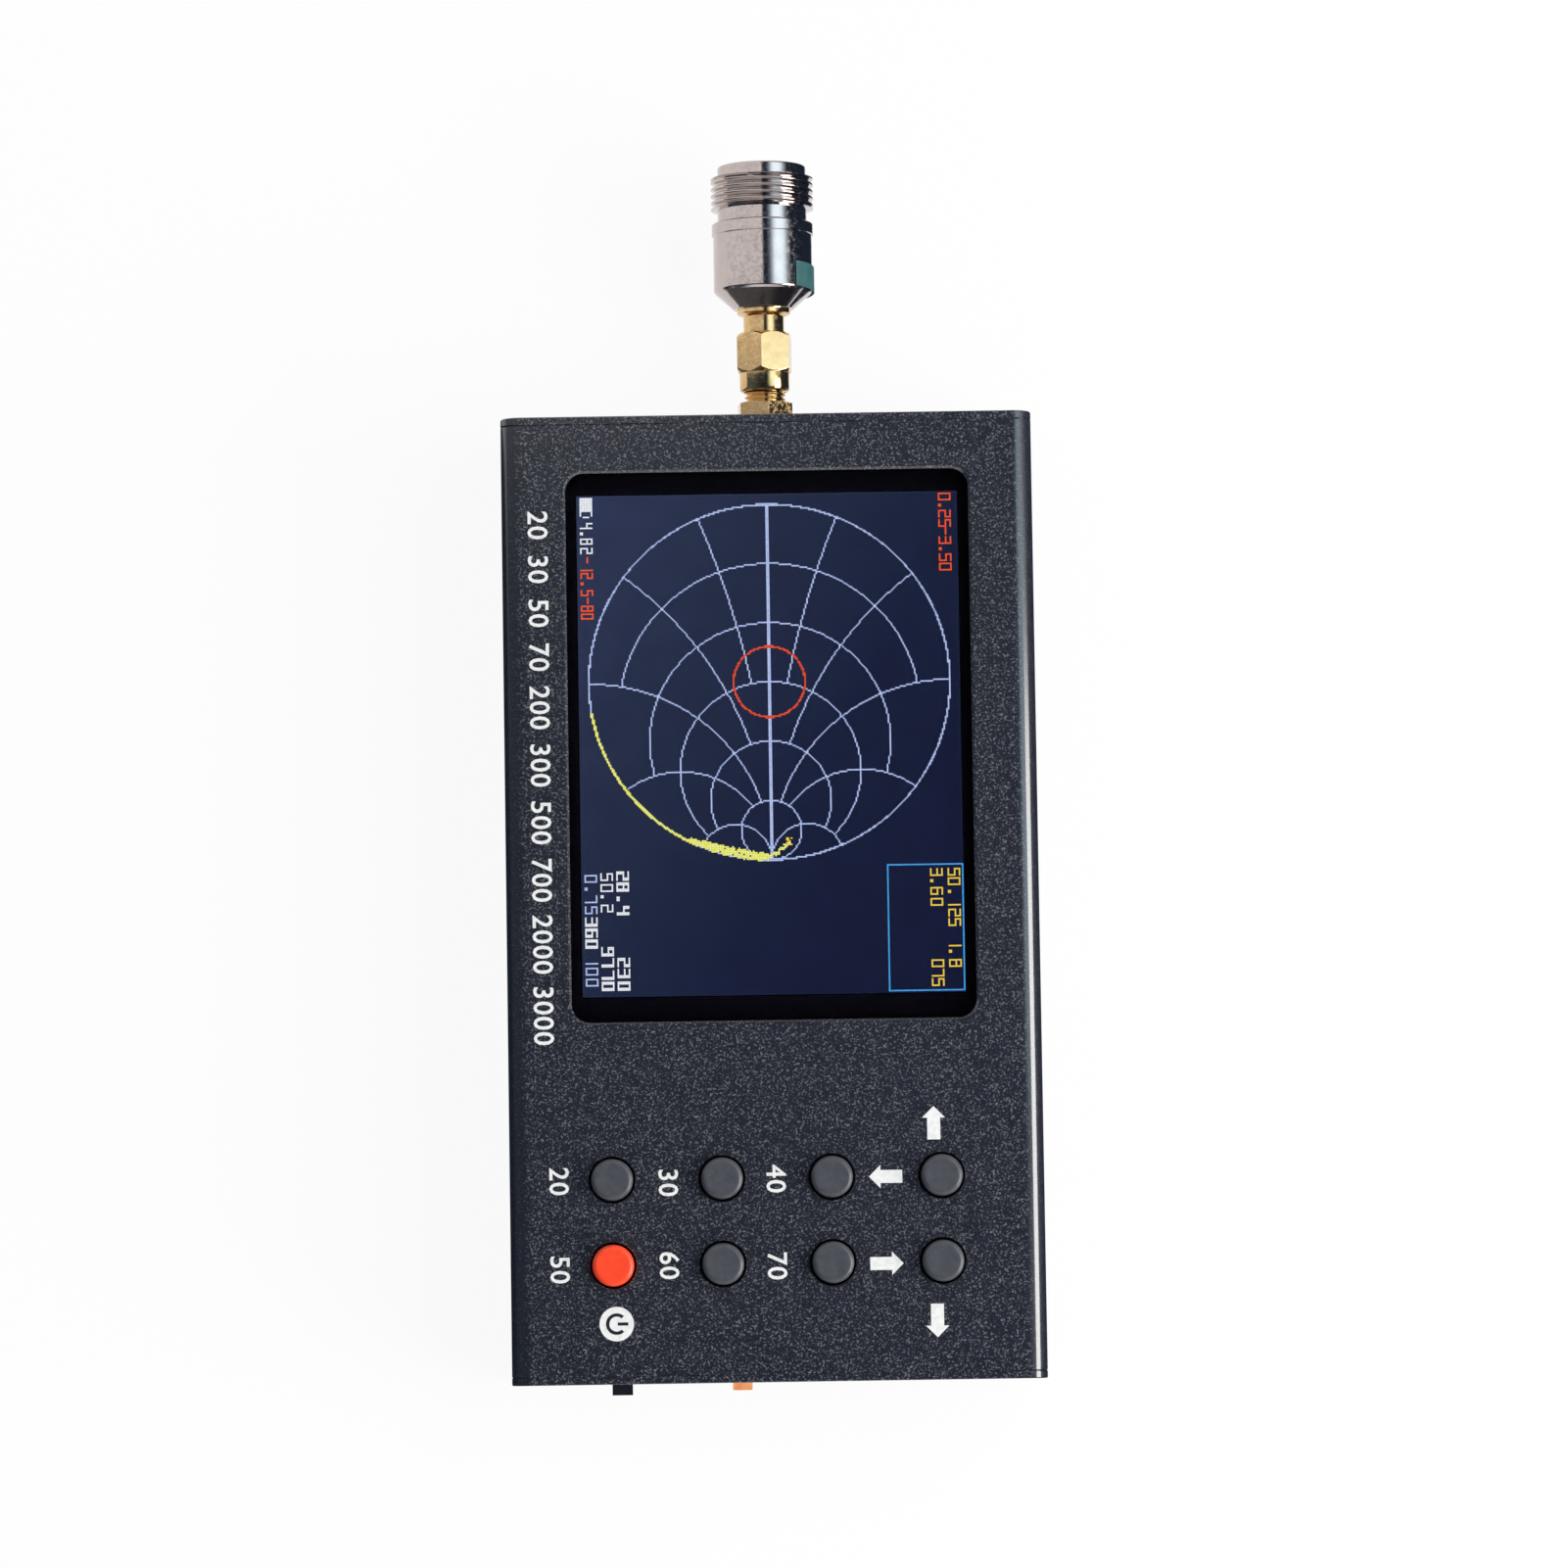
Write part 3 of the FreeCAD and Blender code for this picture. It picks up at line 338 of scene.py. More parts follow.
finishes = {
    "case_paint": powder_coat(),
    "lens_clear": clear_sheet(),
    "display_glass": panel_glow(),
    "gasket_black": moulded("gasket_black", (4, 4, 8), (8, 8, 13), 0.8, specular_ior_level=0.0),
    "amber_light": lit("amber_light", (240, 150, 96), (250, 186, 132), 0.9, 700),
}
finishes.update({name: plated(name, *row) for name, row in PLATED.items()})
finishes.update({name: moulded(name, *row) for name, row in MOULDED.items()})
print("finishes made:", len(finishes))

# %% [markdown]
# Most pieces keep the shape that the model gives them. Their meshes are loose triangles, so round corners
# would shine in facets. A copy is welded, its smooth faces are marked, and a weighted normal keeps the flats
# truly flat. The edges where the tube, its plates and its halves meet are eased by a tenth of a millimetre,
# as tumbled and painted metal is: that draws the fine dark seams. Pieces that nobody sees keep the frame's
# own mesh and only get their finish.

# %% Dress the frame's pieces
ROUND_PIECES = (
    "front_case", "back_case", "connector_end_plate", "switch_end_plate", "connector_end_screws",
    "switch_end_screws", "display_lens", "usb_shell", "sma_lock_washer",
    "sma_panel_nut", "n_insulator", "n_contact",
)
SHARP_ANGLE = np.radians(32)


def linked(name, mesh):
    """Put a mesh into the scene as a piece."""
    piece = bpy.data.objects.new(name, mesh)
    bpy.context.scene.collection.objects.link(piece)
    return piece


def worked(name, work):
    """Turn finished bmesh work into a piece."""
    mesh = bpy.data.meshes.new(name)
    work.to_mesh(mesh)
    work.free()
    return linked(name, mesh)


def finish_piece(piece, node, slot=None, material=None):
    """Give a piece the finish of its slot or a given one, let it ride on the body of a node, and say what
    was made.
    """
    slot = slot or slot_of_node[node]
    print(piece.name, "on", body_of_node[node] + ":", len(piece.data.polygons), "faces")
    piece.data.materials.clear()
    piece.data.materials.append(material or finishes[slot])
    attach(piece, body_of_node[node])
    return piece


def stand_in(piece, node):
    """Finish a piece and let it stand for the node that it is drawn after."""
    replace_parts(finish_piece(piece, node), node)


def on_outline(place):
    """True on the outer skin of the case: within a hair of its rectangle with round corners."""
    corner, hair = 3.0 * MM, 0.06 * MM
    away_x = max(abs(place.x) - (case_high.x - corner), 0.0)
    away_z = max(abs(place.z - front_z / 2) - (front_z / 2 - corner), 0.0)
    return np.hypot(away_x, away_z) > corner - hair


def smooth_but_sharp(work, smooth_angle):
    """Smooth shading everywhere, broken at the edges that turn by more than the angle."""
    for edge in work.edges:
        edge.smooth = len(edge.link_faces) == 2 and bool(edge.calc_face_angle(0.0) < smooth_angle)
    for face in work.faces:
        face.smooth = True


def eased_edges(mesh):
    """The sharp edges round the skin: the ends of tube and plates, and the line where the halves meet."""
    return [
        edge for edge in mesh.edges
        if len(edge.link_faces) == 2 and edge.calc_face_angle(0.0) > np.radians(60)
        and all(on_outline(vertex.co) for vertex in edge.verts)
    ]


def welded_copy(node, ease=0.0):
    """A copy of a node's mesh with its triangles joined, its skin edges eased and its flats kept flat."""
    welder = bmesh.new()
    welder.from_mesh(frame["nodes"][node].data)
    bmesh.ops.remove_doubles(welder, verts=welder.verts, dist=1e-6)
    if ease:
        bmesh.ops.dissolve_limit(welder, angle_limit=np.radians(0.5), verts=welder.verts, edges=welder.edges)
        edges = eased_edges(welder)
        bmesh.ops.bevel(welder, geom=edges, offset=ease, segments=1, affect="EDGES", profile=0.5)
    smooth_but_sharp(welder, SHARP_ANGLE)
    piece = worked(node + "_dressed", welder)
    weighted = piece.modifiers.new("weighted", "WEIGHTED_NORMAL")
    weighted.keep_sharp = True
    return piece


SEAM_EASE = 0.13 * MM
for node, cad_object in frame["nodes"].items():
    cad_object.data.materials.clear()
    cad_object.data.materials.append(finishes[slot_of_node[node]])
for node in ROUND_PIECES:
    stand_in(welded_copy(node, SEAM_EASE if "case" in node or "plate" in node else 0.0), node)
print("welded copies:", len(ROUND_PIECES))

# %% [markdown]
# New pieces are grids of points. `grid_mesh` takes a whole array of rows and columns and joins neighbours
# into quads, wrapping round where the surface closes. Each shape below is then only a formula for the array.

# %% Grid surfaces
def mesh_piece(name, points, faces):
    mesh = bpy.data.meshes.new(name)
    mesh.from_pydata(points.reshape(-1, 3).tolist(), [], faces.tolist())
    mesh.update()
    return linked(name, mesh)


def grid_mesh(name, points, wrap_rows=False, wrap_columns=False):
    """Join a (rows, columns, 3) array into quads. Wrapping closes the grid on itself in that direction."""
    rows, columns = points.shape[:2]
    index = np.arange(rows * columns).reshape(rows, columns)
    if wrap_rows:
        index = np.concatenate([index, index[:1]], 0)
    if wrap_columns:
        index = np.concatenate([index, index[:, :1]], 1)
    quads = np.stack([index[:-1, :-1], index[:-1, 1:], index[1:, 1:], index[1:, :-1]], -1)
    return mesh_piece(name, points, quads.reshape(-1, 4))


def tidy_surface(piece, smooth_angle=SHARP_ANGLE, merge=2e-6):
    """Merge doubles, so that poles close, turn the faces outwards, and smooth all but the sharp edges."""
    work = bmesh.new()
    work.from_mesh(piece.data)
    bmesh.ops.remove_doubles(work, verts=work.verts, dist=merge)
    bmesh.ops.dissolve_degenerate(work, edges=work.edges, dist=1e-7)
    bmesh.ops.recalc_face_normals(work, faces=work.faces)
    smooth_but_sharp(work, smooth_angle)
    work.to_mesh(piece.data)
    work.free()
    return piece


def about_y(x, y, z, radius, turn):
    """Rings round a line along Y through (x, z): one row for each y, one column for each turn."""
    return np.stack(np.broadcast_arrays(x + radius * np.cos(turn), y, z + radius * np.sin(turn)), -1)


def along_profile(corners, fine):
    """Points every `fine` metres along a broken line of (y, radius) corners, the corners included."""
    corners = np.array(corners, float)
    runs = np.linalg.norm(np.diff(corners, axis=0), axis=1)
    pieces = [
        np.linspace(a, b, max(int(np.ceil(run / fine)), 1), endpoint=False)
        for a, b, run in zip(corners[:-1], corners[1:], runs)
    ]
    return np.concatenate(pieces)


# %% [markdown]
# The large socket's shell is one turned piece, and its thread is a helix, not a stack of rings. The whole
# shell is a profile of (y, radius) turned about the jack's axis; where the profile is on the thread's crest,
# the radius drops by a wave of y divided by the pitch less the turn. That is how a lathe makes it, and the
# crests climb by one pitch in each turn.

# %% Threads
THREAD_ANGLE = np.radians(50)


def thread_cut(y, turn, start, end, pitch, depth):
    """Depth of a vee thread at y and turn: a triangle wave, eased, that fades out at both ends."""
    phase = (y - start) / pitch - turn / (2 * np.pi)
    wave = np.clip(np.abs((phase % 1.0) * 2 - 1) * 1.3 - 0.15, 0, 1)
    wave = wave * wave * (3 - 2 * wave)
    fade = np.clip(np.minimum(y - start, end - y) / (0.35 * pitch), 0, 1)
    return depth * wave * fade


def turned_surface(name, corners, fine, segments, thread=None):
    """Turn a closed profile about the jack's axis; a thread is (start, end, crest, pitch, depth)."""
    profile = along_profile(list(corners) + [corners[0]], fine)
    turn = np.linspace(0, 2 * np.pi, segments, endpoint=False)
    y, radius = profile[:, :1], profile[:, 1:]
    if thread:
        start, end, crest, pitch, depth = thread
        on_crest = (np.abs(radius - crest) < 1e-6) & (y >= start) & (y <= end)
        radius = radius - np.where(on_crest, thread_cut(y, turn, start, end, pitch, depth), 0)
    points = about_y(0, y, axis_z, radius, turn)
    smooth_angle = THREAD_ANGLE if thread else SHARP_ANGLE
    return tidy_surface(grid_mesh(name, points, wrap_rows=True, wrap_columns=True), smooth_angle)


# %% [markdown]
# The shell's stations follow the photographed outline from the cone upwards: cone, plain barrel, a narrow
# raised band, the relief groove, the thread and the plain lip with its rounded edge, then down the bore.

# %% Large socket shell
def make_large_shell():
    y0, y1 = shell_low.y, shell_high.y
    cone, body, band = 4.8 * MM, 7.65 * MM, 7.85 * MM
    groove, crest, lip = 6.9 * MM, 7.9375 * MM, 6.85 * MM
    rear_bore, seat_bore, mouth_bore, mouth = 3.02 * MM, 3.52 * MM, 4.05 * MM, 4.3 * MM
    seat_start, seat_end, mouth_slope = y0 + 3.05 * MM, y1 - 9.1 * MM, 0.25 * MM
    cone_end = y0 + 2.75 * MM
    body_end = cone_end + 10.6 * MM
    band_start, band_slope = body_end - 1.9 * MM, 0.1 * MM
    groove_end = body_end + 2.05 * MM
    thread_end = groove_end + 5.15 * MM
    edge, soft = 0.2 * MM, 0.3 * MM
    arc = np.radians(np.array([0, 30, 60, 90]))
    lip_edge = [(y1 - soft + soft * np.sin(a), lip - soft + soft * np.cos(a)) for a in arc]
    corners = [(y0, rear_bore), (y0, cone - edge), (y0 + edge, cone), (cone_end - edge, body - edge * 1.1)]
    corners += [(cone_end + edge, body), (band_start, body), (band_start + band_slope, band)]
    corners += [(body_end - edge, band), (body_end, band - edge), (body_end, groove)]
    corners += [(groove_end, groove), (groove_end + edge, crest), (thread_end - edge, crest)]
    corners += [(thread_end, lip)] + lip_edge
    corners += [(y1, mouth), (y1 - mouth_slope, mouth_bore), (seat_end, mouth_bore), (seat_end, seat_bore)]
    corners += [(seat_start, seat_bore), (seat_start, rear_bore)]
    thread = (groove_end + edge, thread_end - edge, crest, INCH / 24, 0.62 * MM)
    stand_in(turned_surface("large_shell_threaded", corners, 0.10 * MM, 160, thread), "n_shell")


make_large_shell()

# %% [markdown]
# The small jack is the same idea with a finer thread: 36 turns to the inch. Its block under the board is a
# plain casting that the case hides, so a closed box with eased edges is enough there.

# %% Small jack
def eased_box(name, low, high, ease):
    """A closed box between two corners, with its edges eased by a bevel."""
    low, high = Vector(low), Vector(high)
    work = bmesh.new()
    bmesh.ops.create_cube(work, size=1.0)
    bmesh.ops.scale(work, vec=high - low, verts=work.verts)
    bmesh.ops.translate(work, vec=(low + high) / 2, verts=work.verts)
    bmesh.ops.bevel(work, geom=work.edges[:], offset=ease, segments=2, affect="EDGES", profile=0.5)
    return worked(name, work)


def make_small_jack():
    crest, mouth_bore, bore, chamfer = 3.175 * MM, 2.31 * MM, 2.06 * MM, 0.35 * MM
    y0, y1 = plate_face_y - 1.5 * MM, jack_high.y
    recess = y1 - 1.9 * MM
    corners = [(y0, mouth_bore), (y0, crest), (y1 - chamfer, crest), (y1, crest - chamfer), (y1, mouth_bore)]
    corners += [(recess, mouth_bore), (recess, bore), (y0, bore)]
    thread = (plate_face_y, y1 - 0.4 * MM, crest, INCH / 36, 0.4 * MM)
    stand_in(turned_surface("small_jack_barrel", corners, 0.06 * MM, 128, thread), "sma_jack")
    side, top = 3.5 * MM, 3.7 * MM
    block_low, block_high = (-side, jack_low.y, axis_z - side), (side, y0, axis_z + top)
    stand_in(eased_box("small_jack_block", block_low, block_high, 0.25 * MM), "sma_jack")


make_small_jack()

# %% [markdown]
# The coupling nut is a turned skirt and a hexagon in one piece. Seen from its end, the radius at each turn
# is the hexagon's, but never more than a cone lets through: that cone is the chamfer which a lathe puts on
# both ends of every hexagon bar. One formula, the smaller of the two radii, gives flats, corners and
# chamfers together.

# %% Coupling nut
def make_coupling_nut():
    low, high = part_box("coupling_nut")
    y0, y1 = low.y, high.y
    skirt_end = y0 + 2.9 * MM
    skirt, flat, bore, neck_bore, ring_groove = 3.85 * MM, 4.0 * MM, 3.25 * MM, 2.75 * MM, 3.22 * MM
    bore_end, groove_low, groove_high = y1 - 2.4 * MM, y1 - 1.7 * MM, y1 - 1.1 * MM
    chamfer_start, chamfer_slope = 3.95 * MM, 1.1
    corner_turn, sixth = np.radians(35.4), np.radians(60)
    soft = 0.45 * MM
    arc = np.radians(np.array([0, 22.5, 45, 67.5, 90]))
    rounding = np.stack([y0 + soft - soft * np.cos(arc), skirt - soft + soft * np.sin(arc)], -1)
    turned = np.concatenate([[(y0, bore)], rounding, [(skirt_end, skirt)]])
    hex_y = np.append(along_profile([(skirt_end, 0), (y1, 0)], 0.1 * MM)[:, 0], y1)[:, None]
    inside = [(y1, neck_bore), (groove_high, neck_bore), (groove_high, ring_groove)]
    inside += [(groove_low, ring_groove), (groove_low, neck_bore), (bore_end, neck_bore)]
    inside = np.array(inside + [(bore_end, bore), (y0, bore)])
    turn = corner_turn + np.radians(np.arange(0, 360, 2.5))
    from_corner = np.abs((turn - corner_turn + sixth / 2) % sixth - sixth / 2)
    hexagon = flat / np.cos(sixth / 2 - from_corner)
    chamfer = chamfer_start + np.minimum(hex_y - skirt_end, y1 - hex_y) * chamfer_slope
    radius = np.concatenate([
        turned[:, 1:] + 0 * turn, np.minimum(hexagon, chamfer), inside[:, 1:] + 0 * turn,
    ])
    y = np.concatenate([turned[:, :1], hex_y, inside[:, :1]])
    points = about_y(0, y, axis_z, radius, turn)
    nut = grid_mesh("coupling_nut_turned", points, wrap_rows=True, wrap_columns=True)
    stand_in(tidy_surface(nut, np.radians(20)), "coupling_nut")


make_coupling_nut()

# %% [markdown]
# The adapter's sleeve shows only its neck and its collar, which eases into the neck by a small cone. The
# rest of the profile runs inside the nut.

# %% Adapter sleeve
def make_sleeve():
    low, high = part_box("adapter_sleeve")
    bore, tip, flange, body, ring_groove = 2.06 * MM, 2.27 * MM, 3.05 * MM, 2.65 * MM, 2.35 * MM
    neck, collar, spigot, slope, edge = 3.15 * MM, 4.1 * MM, 2.98 * MM, 0.4 * MM, 0.1 * MM
    collar_start = shell_low.y - 0.75 * MM
    neck_start = collar_start - 2.9 * MM
    flange_start, flange_end = low.y + 2.5 * MM, low.y + 3.05 * MM
    ring_start, ring_end = neck_start - 1.72 * MM, neck_start - 1.28 * MM
    corners = [(low.y, bore), (low.y, tip), (flange_start, tip), (flange_start, flange)]
    corners += [(flange_end, flange), (flange_end, body), (ring_start, body), (ring_start, ring_groove)]
    corners += [(ring_end, ring_groove), (ring_end, body), (neck_start, body), (neck_start, neck)]
    corners += [(collar_start - slope, neck), (collar_start, collar - edge), (collar_start + edge, collar)]
    corners += [(shell_low.y, collar), (shell_low.y, spigot), (high.y, spigot), (high.y, bore)]
    stand_in(turned_surface("sleeve_turned", corners, 0.4 * MM, 96), "adapter_sleeve")


make_sleeve()

# %% [markdown]
# The charge lamp is a short cylinder of amber resin with a flat end that stands out of the lower plate and
# glows a little. Its two legs run back and down to the board.

# %% Charge lamp
def make_charge_lamp():
    low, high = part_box("charge_led")
    radius, soft, rim, lead, lead_reach = 1.5 * MM, 0.2 * MM, 1.85 * MM, 0.5 * MM, 1.27 * MM
    x, z = (low.x + high.x) / 2, low.z + rim
    base = low.y + 5.2 * MM
    rim_start = base - 0.6 * MM
    arc = np.radians(np.array([0, 30, 60, 90]))
    profile = [(low.y, 0.0)]
    profile += [(low.y + soft - soft * np.cos(a), radius - soft + soft * np.sin(a)) for a in arc]
    profile = np.array(profile + [(rim_start, radius), (rim_start, rim), (base, rim), (base, 0.0)])
    turn = np.linspace(0, 2 * np.pi, 48, endpoint=False)
    points = about_y(x, profile[:, :1], z, profile[:, 1:], turn)
    stand_in(tidy_surface(grid_mesh("charge_lamp", points, wrap_columns=True)), "charge_led")
    half = lead / 2
    for side, lead_x in (("left", x - lead_reach), ("right", x + lead_reach)):
        run = ((lead_x - half, base, z - half), (lead_x + half, high.y, z + half))
        rise = ((lead_x - half, high.y - lead, z + half), (lead_x + half, high.y, high.z))
        for part, (corner, far_corner) in (("run", run), ("rise", rise)):
            piece = eased_box(f"lamp_lead_{side}_{part}", corner, far_corner, 0.05 * MM)
            finish_piece(piece, "charge_led", slot="switch_steel")


make_charge_lamp()

# %% [markdown]
# Each key is a turned cap with a softly rounded rim and a top that dips by a few hundredths, which is what
# bends the light into the bright crescent on one side. The profile is a quarter circle for the rim and a
# parabola for the dish.

# %% Key caps
def make_key(node):
    low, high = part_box(node)
    x, y = (low.x + high.x) / 2, (low.y + high.y) / 2
    outer = (high.x - low.x) / 2
    rim, dish, foot = 0.75 * MM, 0.08 * MM, 0.1 * MM
    arc = np.linspace(0, np.pi / 2, 8)
    rim_points = np.stack([outer - rim + rim * np.cos(arc), high.z - rim + rim * np.sin(arc)], -1)
    radius = np.linspace(outer - rim, 0, 8)[1:]
    top = np.stack([radius, high.z - dish * (1 - (radius / (outer - rim)) ** 2)], -1)
    side = np.array([[0, low.z], [outer - foot, low.z], [outer, low.z + foot]])
    profile = np.concatenate([side, rim_points, top])
    turn = np.linspace(0, 2 * np.pi, 72, endpoint=False)
    radius, z = profile[:, :1], profile[:, 1:]
    points = np.stack([x + radius * np.cos(turn), y + radius * np.sin(turn), z + 0 * turn], -1)
    stand_in(tidy_surface(grid_mesh(node + "_cap", points, wrap_columns=True)), node)


key_nodes = sorted(n for n in frame["nodes"] if "key" in n)
for node in key_nodes:
    make_key(node)
print("keys:", key_nodes)

# %% [markdown]
# The display is a grid of square cells, 240 across the case and 320 along it. Everything on it is decided
# cell by cell from formulas. A real panel draws a curve one cell wide with steps in it, so a cell belongs to
# a curve when its centre is within half a cell of it, counted along the row or the column, whichever the
# curve crosses more squarely. Lit cells become small raised squares with a dark gap between them.

# %% Display cells
CELLS_ACROSS, CELLS_ALONG = 240, 320
GLASS_BORDER = 1.4 * MM
picture_low = np.array([glass_low.x, glass_low.y]) + GLASS_BORDER
picture_high = np.array([glass_high.x, glass_high.y]) - GLASS_BORDER
cell = (picture_high - picture_low) / [CELLS_ACROSS, CELLS_ALONG]
across = np.arange(CELLS_ACROSS)[:, None] + 0.5
along = np.arange(CELLS_ALONG)[None, :] + 0.5
CHART_X, CHART_Y, CHART_RADIUS = 120.0, 199.5, 113.6
INKS = ("dark", "grid", "ring", "trace", "marker", "amber", "orange", "white")
picture = np.zeros((CELLS_ACROSS, CELLS_ALONG), int)
gamma = (CHART_Y - along) / CHART_RADIUS + 1j * (CHART_X - across) / CHART_RADIUS
with np.errstate(divide="ignore", invalid="ignore"):
    impedance = (1 + gamma) / (1 - gamma)


def ink(mask, name):
    picture[mask] = INKS.index(name)


def circle_cells(centre, radius, reach, half=0.5):
    """Cells of a one-cell-wide circle of the chart's plane, kept where `reach` is true."""
    spoke = gamma - centre
    length = np.abs(spoke)
    squarely = np.maximum(np.abs(spoke.real), np.abs(spoke.imag)) / length
    return (np.abs(length - radius) * CHART_RADIUS < half * squarely) & reach


print("picture", np.round((picture_high - picture_low) / MM, 2), "mm, cell", np.round(cell / MM, 4), "mm")

# %% [markdown]
# The chart is the impedance chart that every such instrument draws. A circle of constant resistance r has
# its centre at r/(1+r) and a radius of 1/(1+r); a circle of constant reactance x has its centre at 1+j/x and
# a radius of 1/x. They are cut short where the lines would crowd, which the impedance of each cell decides.

# %% Impedance chart
inside = np.abs(gamma) <= 1.003
resistance, reactance = impedance.real, np.abs(impedance.imag)
NO_LIMIT = 1e9
RIM_HALF, AXIS_HALF, RING_HALF, RING_RADIUS = 0.6, 0.62, 0.75, 0.198
CIRCLES = ((0.2, 1.0), (0.5, 2.0), (1.0, 5.0), (2.0, 5.0), (5.0, NO_LIMIT))
ink(circle_cells(0, 1, True, RIM_HALF), "grid")
for r, limit in CIRCLES:
    ink(circle_cells(r / (1 + r), 1 / (1 + r), inside & (reactance <= limit)), "grid")
for x, limit in CIRCLES:
    for sign in (1, -1):
        ink(circle_cells(1 + sign * 1j / x, 1 / x, inside & (resistance <= limit)), "grid")
ink((np.abs(gamma.imag) * CHART_RADIUS < AXIS_HALF) & inside, "grid")
ink(circle_cells(0, RING_RADIUS, inside, RING_HALF), "ring")
print("chart cells:", int((picture > 0).sum()))

# %% [markdown]
# The measured curve runs along the rim of the chart, gets noisy near its end and then turns inwards. It is
# stamped with a small round brush along a row of angles. Noise in the radius gives the ragged stretch,
# because a curve of constant distance would look too clean for a measurement.

# %% Measured curve
def stamp(x, y, size, name):
    """Ink every cell nearer than `size` to one of the points (x, y), given in cells."""
    for px, py in zip(np.atleast_1d(x), np.atleast_1d(y)):
        ink((across - px) ** 2 + (along - py) ** 2 < size ** 2, name)


def chart_point(degrees, radius):
    """Cells of a point of the chart, at an angle from its lower end and a share of its radius."""
    angle = np.radians(degrees)
    return CHART_X - CHART_RADIUS * radius * np.sin(angle), CHART_Y - CHART_RADIUS * radius * np.cos(angle)


FINE_BRUSH, BROAD_BRUSH = 0.85, 0.95
CHART_FOOT = CHART_Y - CHART_RADIUS
CURVE_START, RAGGED_START, RAGGED_END = 80.5, 27, 1
CURVE_STEPS, RAGGED_STEPS, TAIL_STEPS = 260, 110, 22
LEAST_DEPTH, MORE_DEPTH, JITTER = 0.012, 0.034, 0.5
smooth = np.linspace(CURVE_START, RAGGED_START - 0.5, CURVE_STEPS)
stamp(*chart_point(smooth, 1.0), FINE_BRUSH, "trace")
ragged = np.linspace(RAGGED_START, RAGGED_END, RAGGED_STEPS)
depth = LEAST_DEPTH + MORE_DEPTH * np.sin(np.radians(np.linspace(10, 150, RAGGED_STEPS)))
for layer in range(2):
    stamp(*chart_point(ragged, 1.0 - depth * rng.random(RAGGED_STEPS)), BROAD_BRUSH, "trace")
tail = np.linspace(0, 1, TAIL_STEPS)
tail_x = CHART_X - 3 + 14.0 * tail + rng.normal(0, JITTER, TAIL_STEPS)
tail_y = CHART_FOOT + 1.5 + 9.5 * tail ** 1.3 + rng.normal(0, JITTER, TAIL_STEPS)
stamp(tail_x, tail_y, BROAD_BRUSH, "trace")
end_x, end_y = CHART_X + np.array([9.5, 11, 12.5, 10, 12]), CHART_FOOT + np.array([10, 11.5, 13.5, 13, 9.5])
stamp(end_x, end_y, 0.9, "amber")
print("curve cells:", int((picture == INKS.index("trace")).sum()))

# %% [markdown]
# The read-outs are rows of seven-segment digits, each built from the segments that it lights. The reader
# turns the instrument on its side: a row runs towards -Y and its tops point to +X. A table lists the rows,
# each with its foot, its first column, its ink and its step from digit to digit.

# %% Read-outs
SEGMENTS = {
    "0": "abcdef", "1": "bc", "2": "abged", "3": "abgcd", "4": "fgbc", "5": "afgcd", "6": "afgedc",
    "7": "abc", "8": "abcdefg", "9": "abcdfg", "-": "g", " ": "", ".": "p",
}
STROKES = {
    "a": (0, 8, 4, 8), "b": (4, 4, 4, 8), "c": (4, 0, 4, 4), "d": (0, 0, 4, 0), "e": (0, 0, 0, 4),
    "f": (0, 4, 0, 8), "g": (0, 4, 4, 4), "p": (1, 0, 2, 1),
}
STROKE_GRID, TALL = 8, 7


def cell_box(x0, x1, y0, y1, name):
    picture[x0:x1 + 1, y0:y1 + 1] = INKS.index(name)


def digits(text, x, y, name, step=6.0, wide=4, bold=0):
    """Write digits from cell (x, y), the foot of the row and its first column, towards -Y."""
    for place, mark in enumerate(text):
        for segment in SEGMENTS[mark]:
            left, foot, right, top = STROKES[segment]
            first = int(round(y - place * step - right * wide / 4))
            last = int(round(y - place * step - left * wide / 4)) + bold
            lower, upper = (x + int(round(level * TALL / STROKE_GRID)) for level in (foot, top))
            cell_box(lower, upper, first, last, name)


READ_OUTS = (
    ("50.125 1.8", 230, 78, "amber", 6.4), ("3.60", 219, 78, "amber", 6.2), ("075", 219, 20, "amber"),
    ("0.25-3.50", 228, 318, "orange", 5.6),
    ("28.4", 22, 78, "white", 7.3, 4, 1), ("230", 22, 23, "white", 7.3, 4, 1),
    ("50.2", 12, 78, "white", 6.6), ("9770", 12, 30, "white", 7.3, 4, 1),
    ("0.75", 2, 77, "grid", 6.6), ("360", 2, 49, "white", 6.8, 4, 1), ("100", 2, 25, "grid", 7.0),
    ("4.82", 2, 302, "white", 5.2, 3), ("-12.5-80", 2, 280, "orange", 5.2, 3),
)
BOXES = (
    (192, 239, 1, 81, "marker"), (193, 238, 2, 80, "dark"),
    (2, 9, 306, 318, "white"), (3, 8, 307, 309, "dark"), (2, 3, 305, 306, "dark"), (8, 9, 305, 306, "dark"),
)
for box in BOXES:
    cell_box(*box)
for row in READ_OUTS:
    digits(*row)
print("lit cells:", int((picture > 0).sum()))

# %% [markdown]
# One mesh per ink keeps the materials simple. All the squares of an ink are made at once: the corners of one
# square are added to every cell's centre by broadcasting.

# %% Raise the cells
CELL_LIFT, CELL_GAP = 0.012 * MM, 0.05
GLOW = {
    "grid": ((170, 190, 244), (200, 214, 255)),
    "ring": ((232, 74, 36), (246, 92, 50)),
    "trace": ((240, 246, 96), (255, 255, 150)),
    "marker": ((56, 150, 232), (84, 180, 250)),
    "amber": ((248, 208, 64), (255, 220, 84)),
    "orange": ((250, 84, 30), (255, 98, 42)),
    "white": ((236, 240, 250), (252, 253, 255)),
}


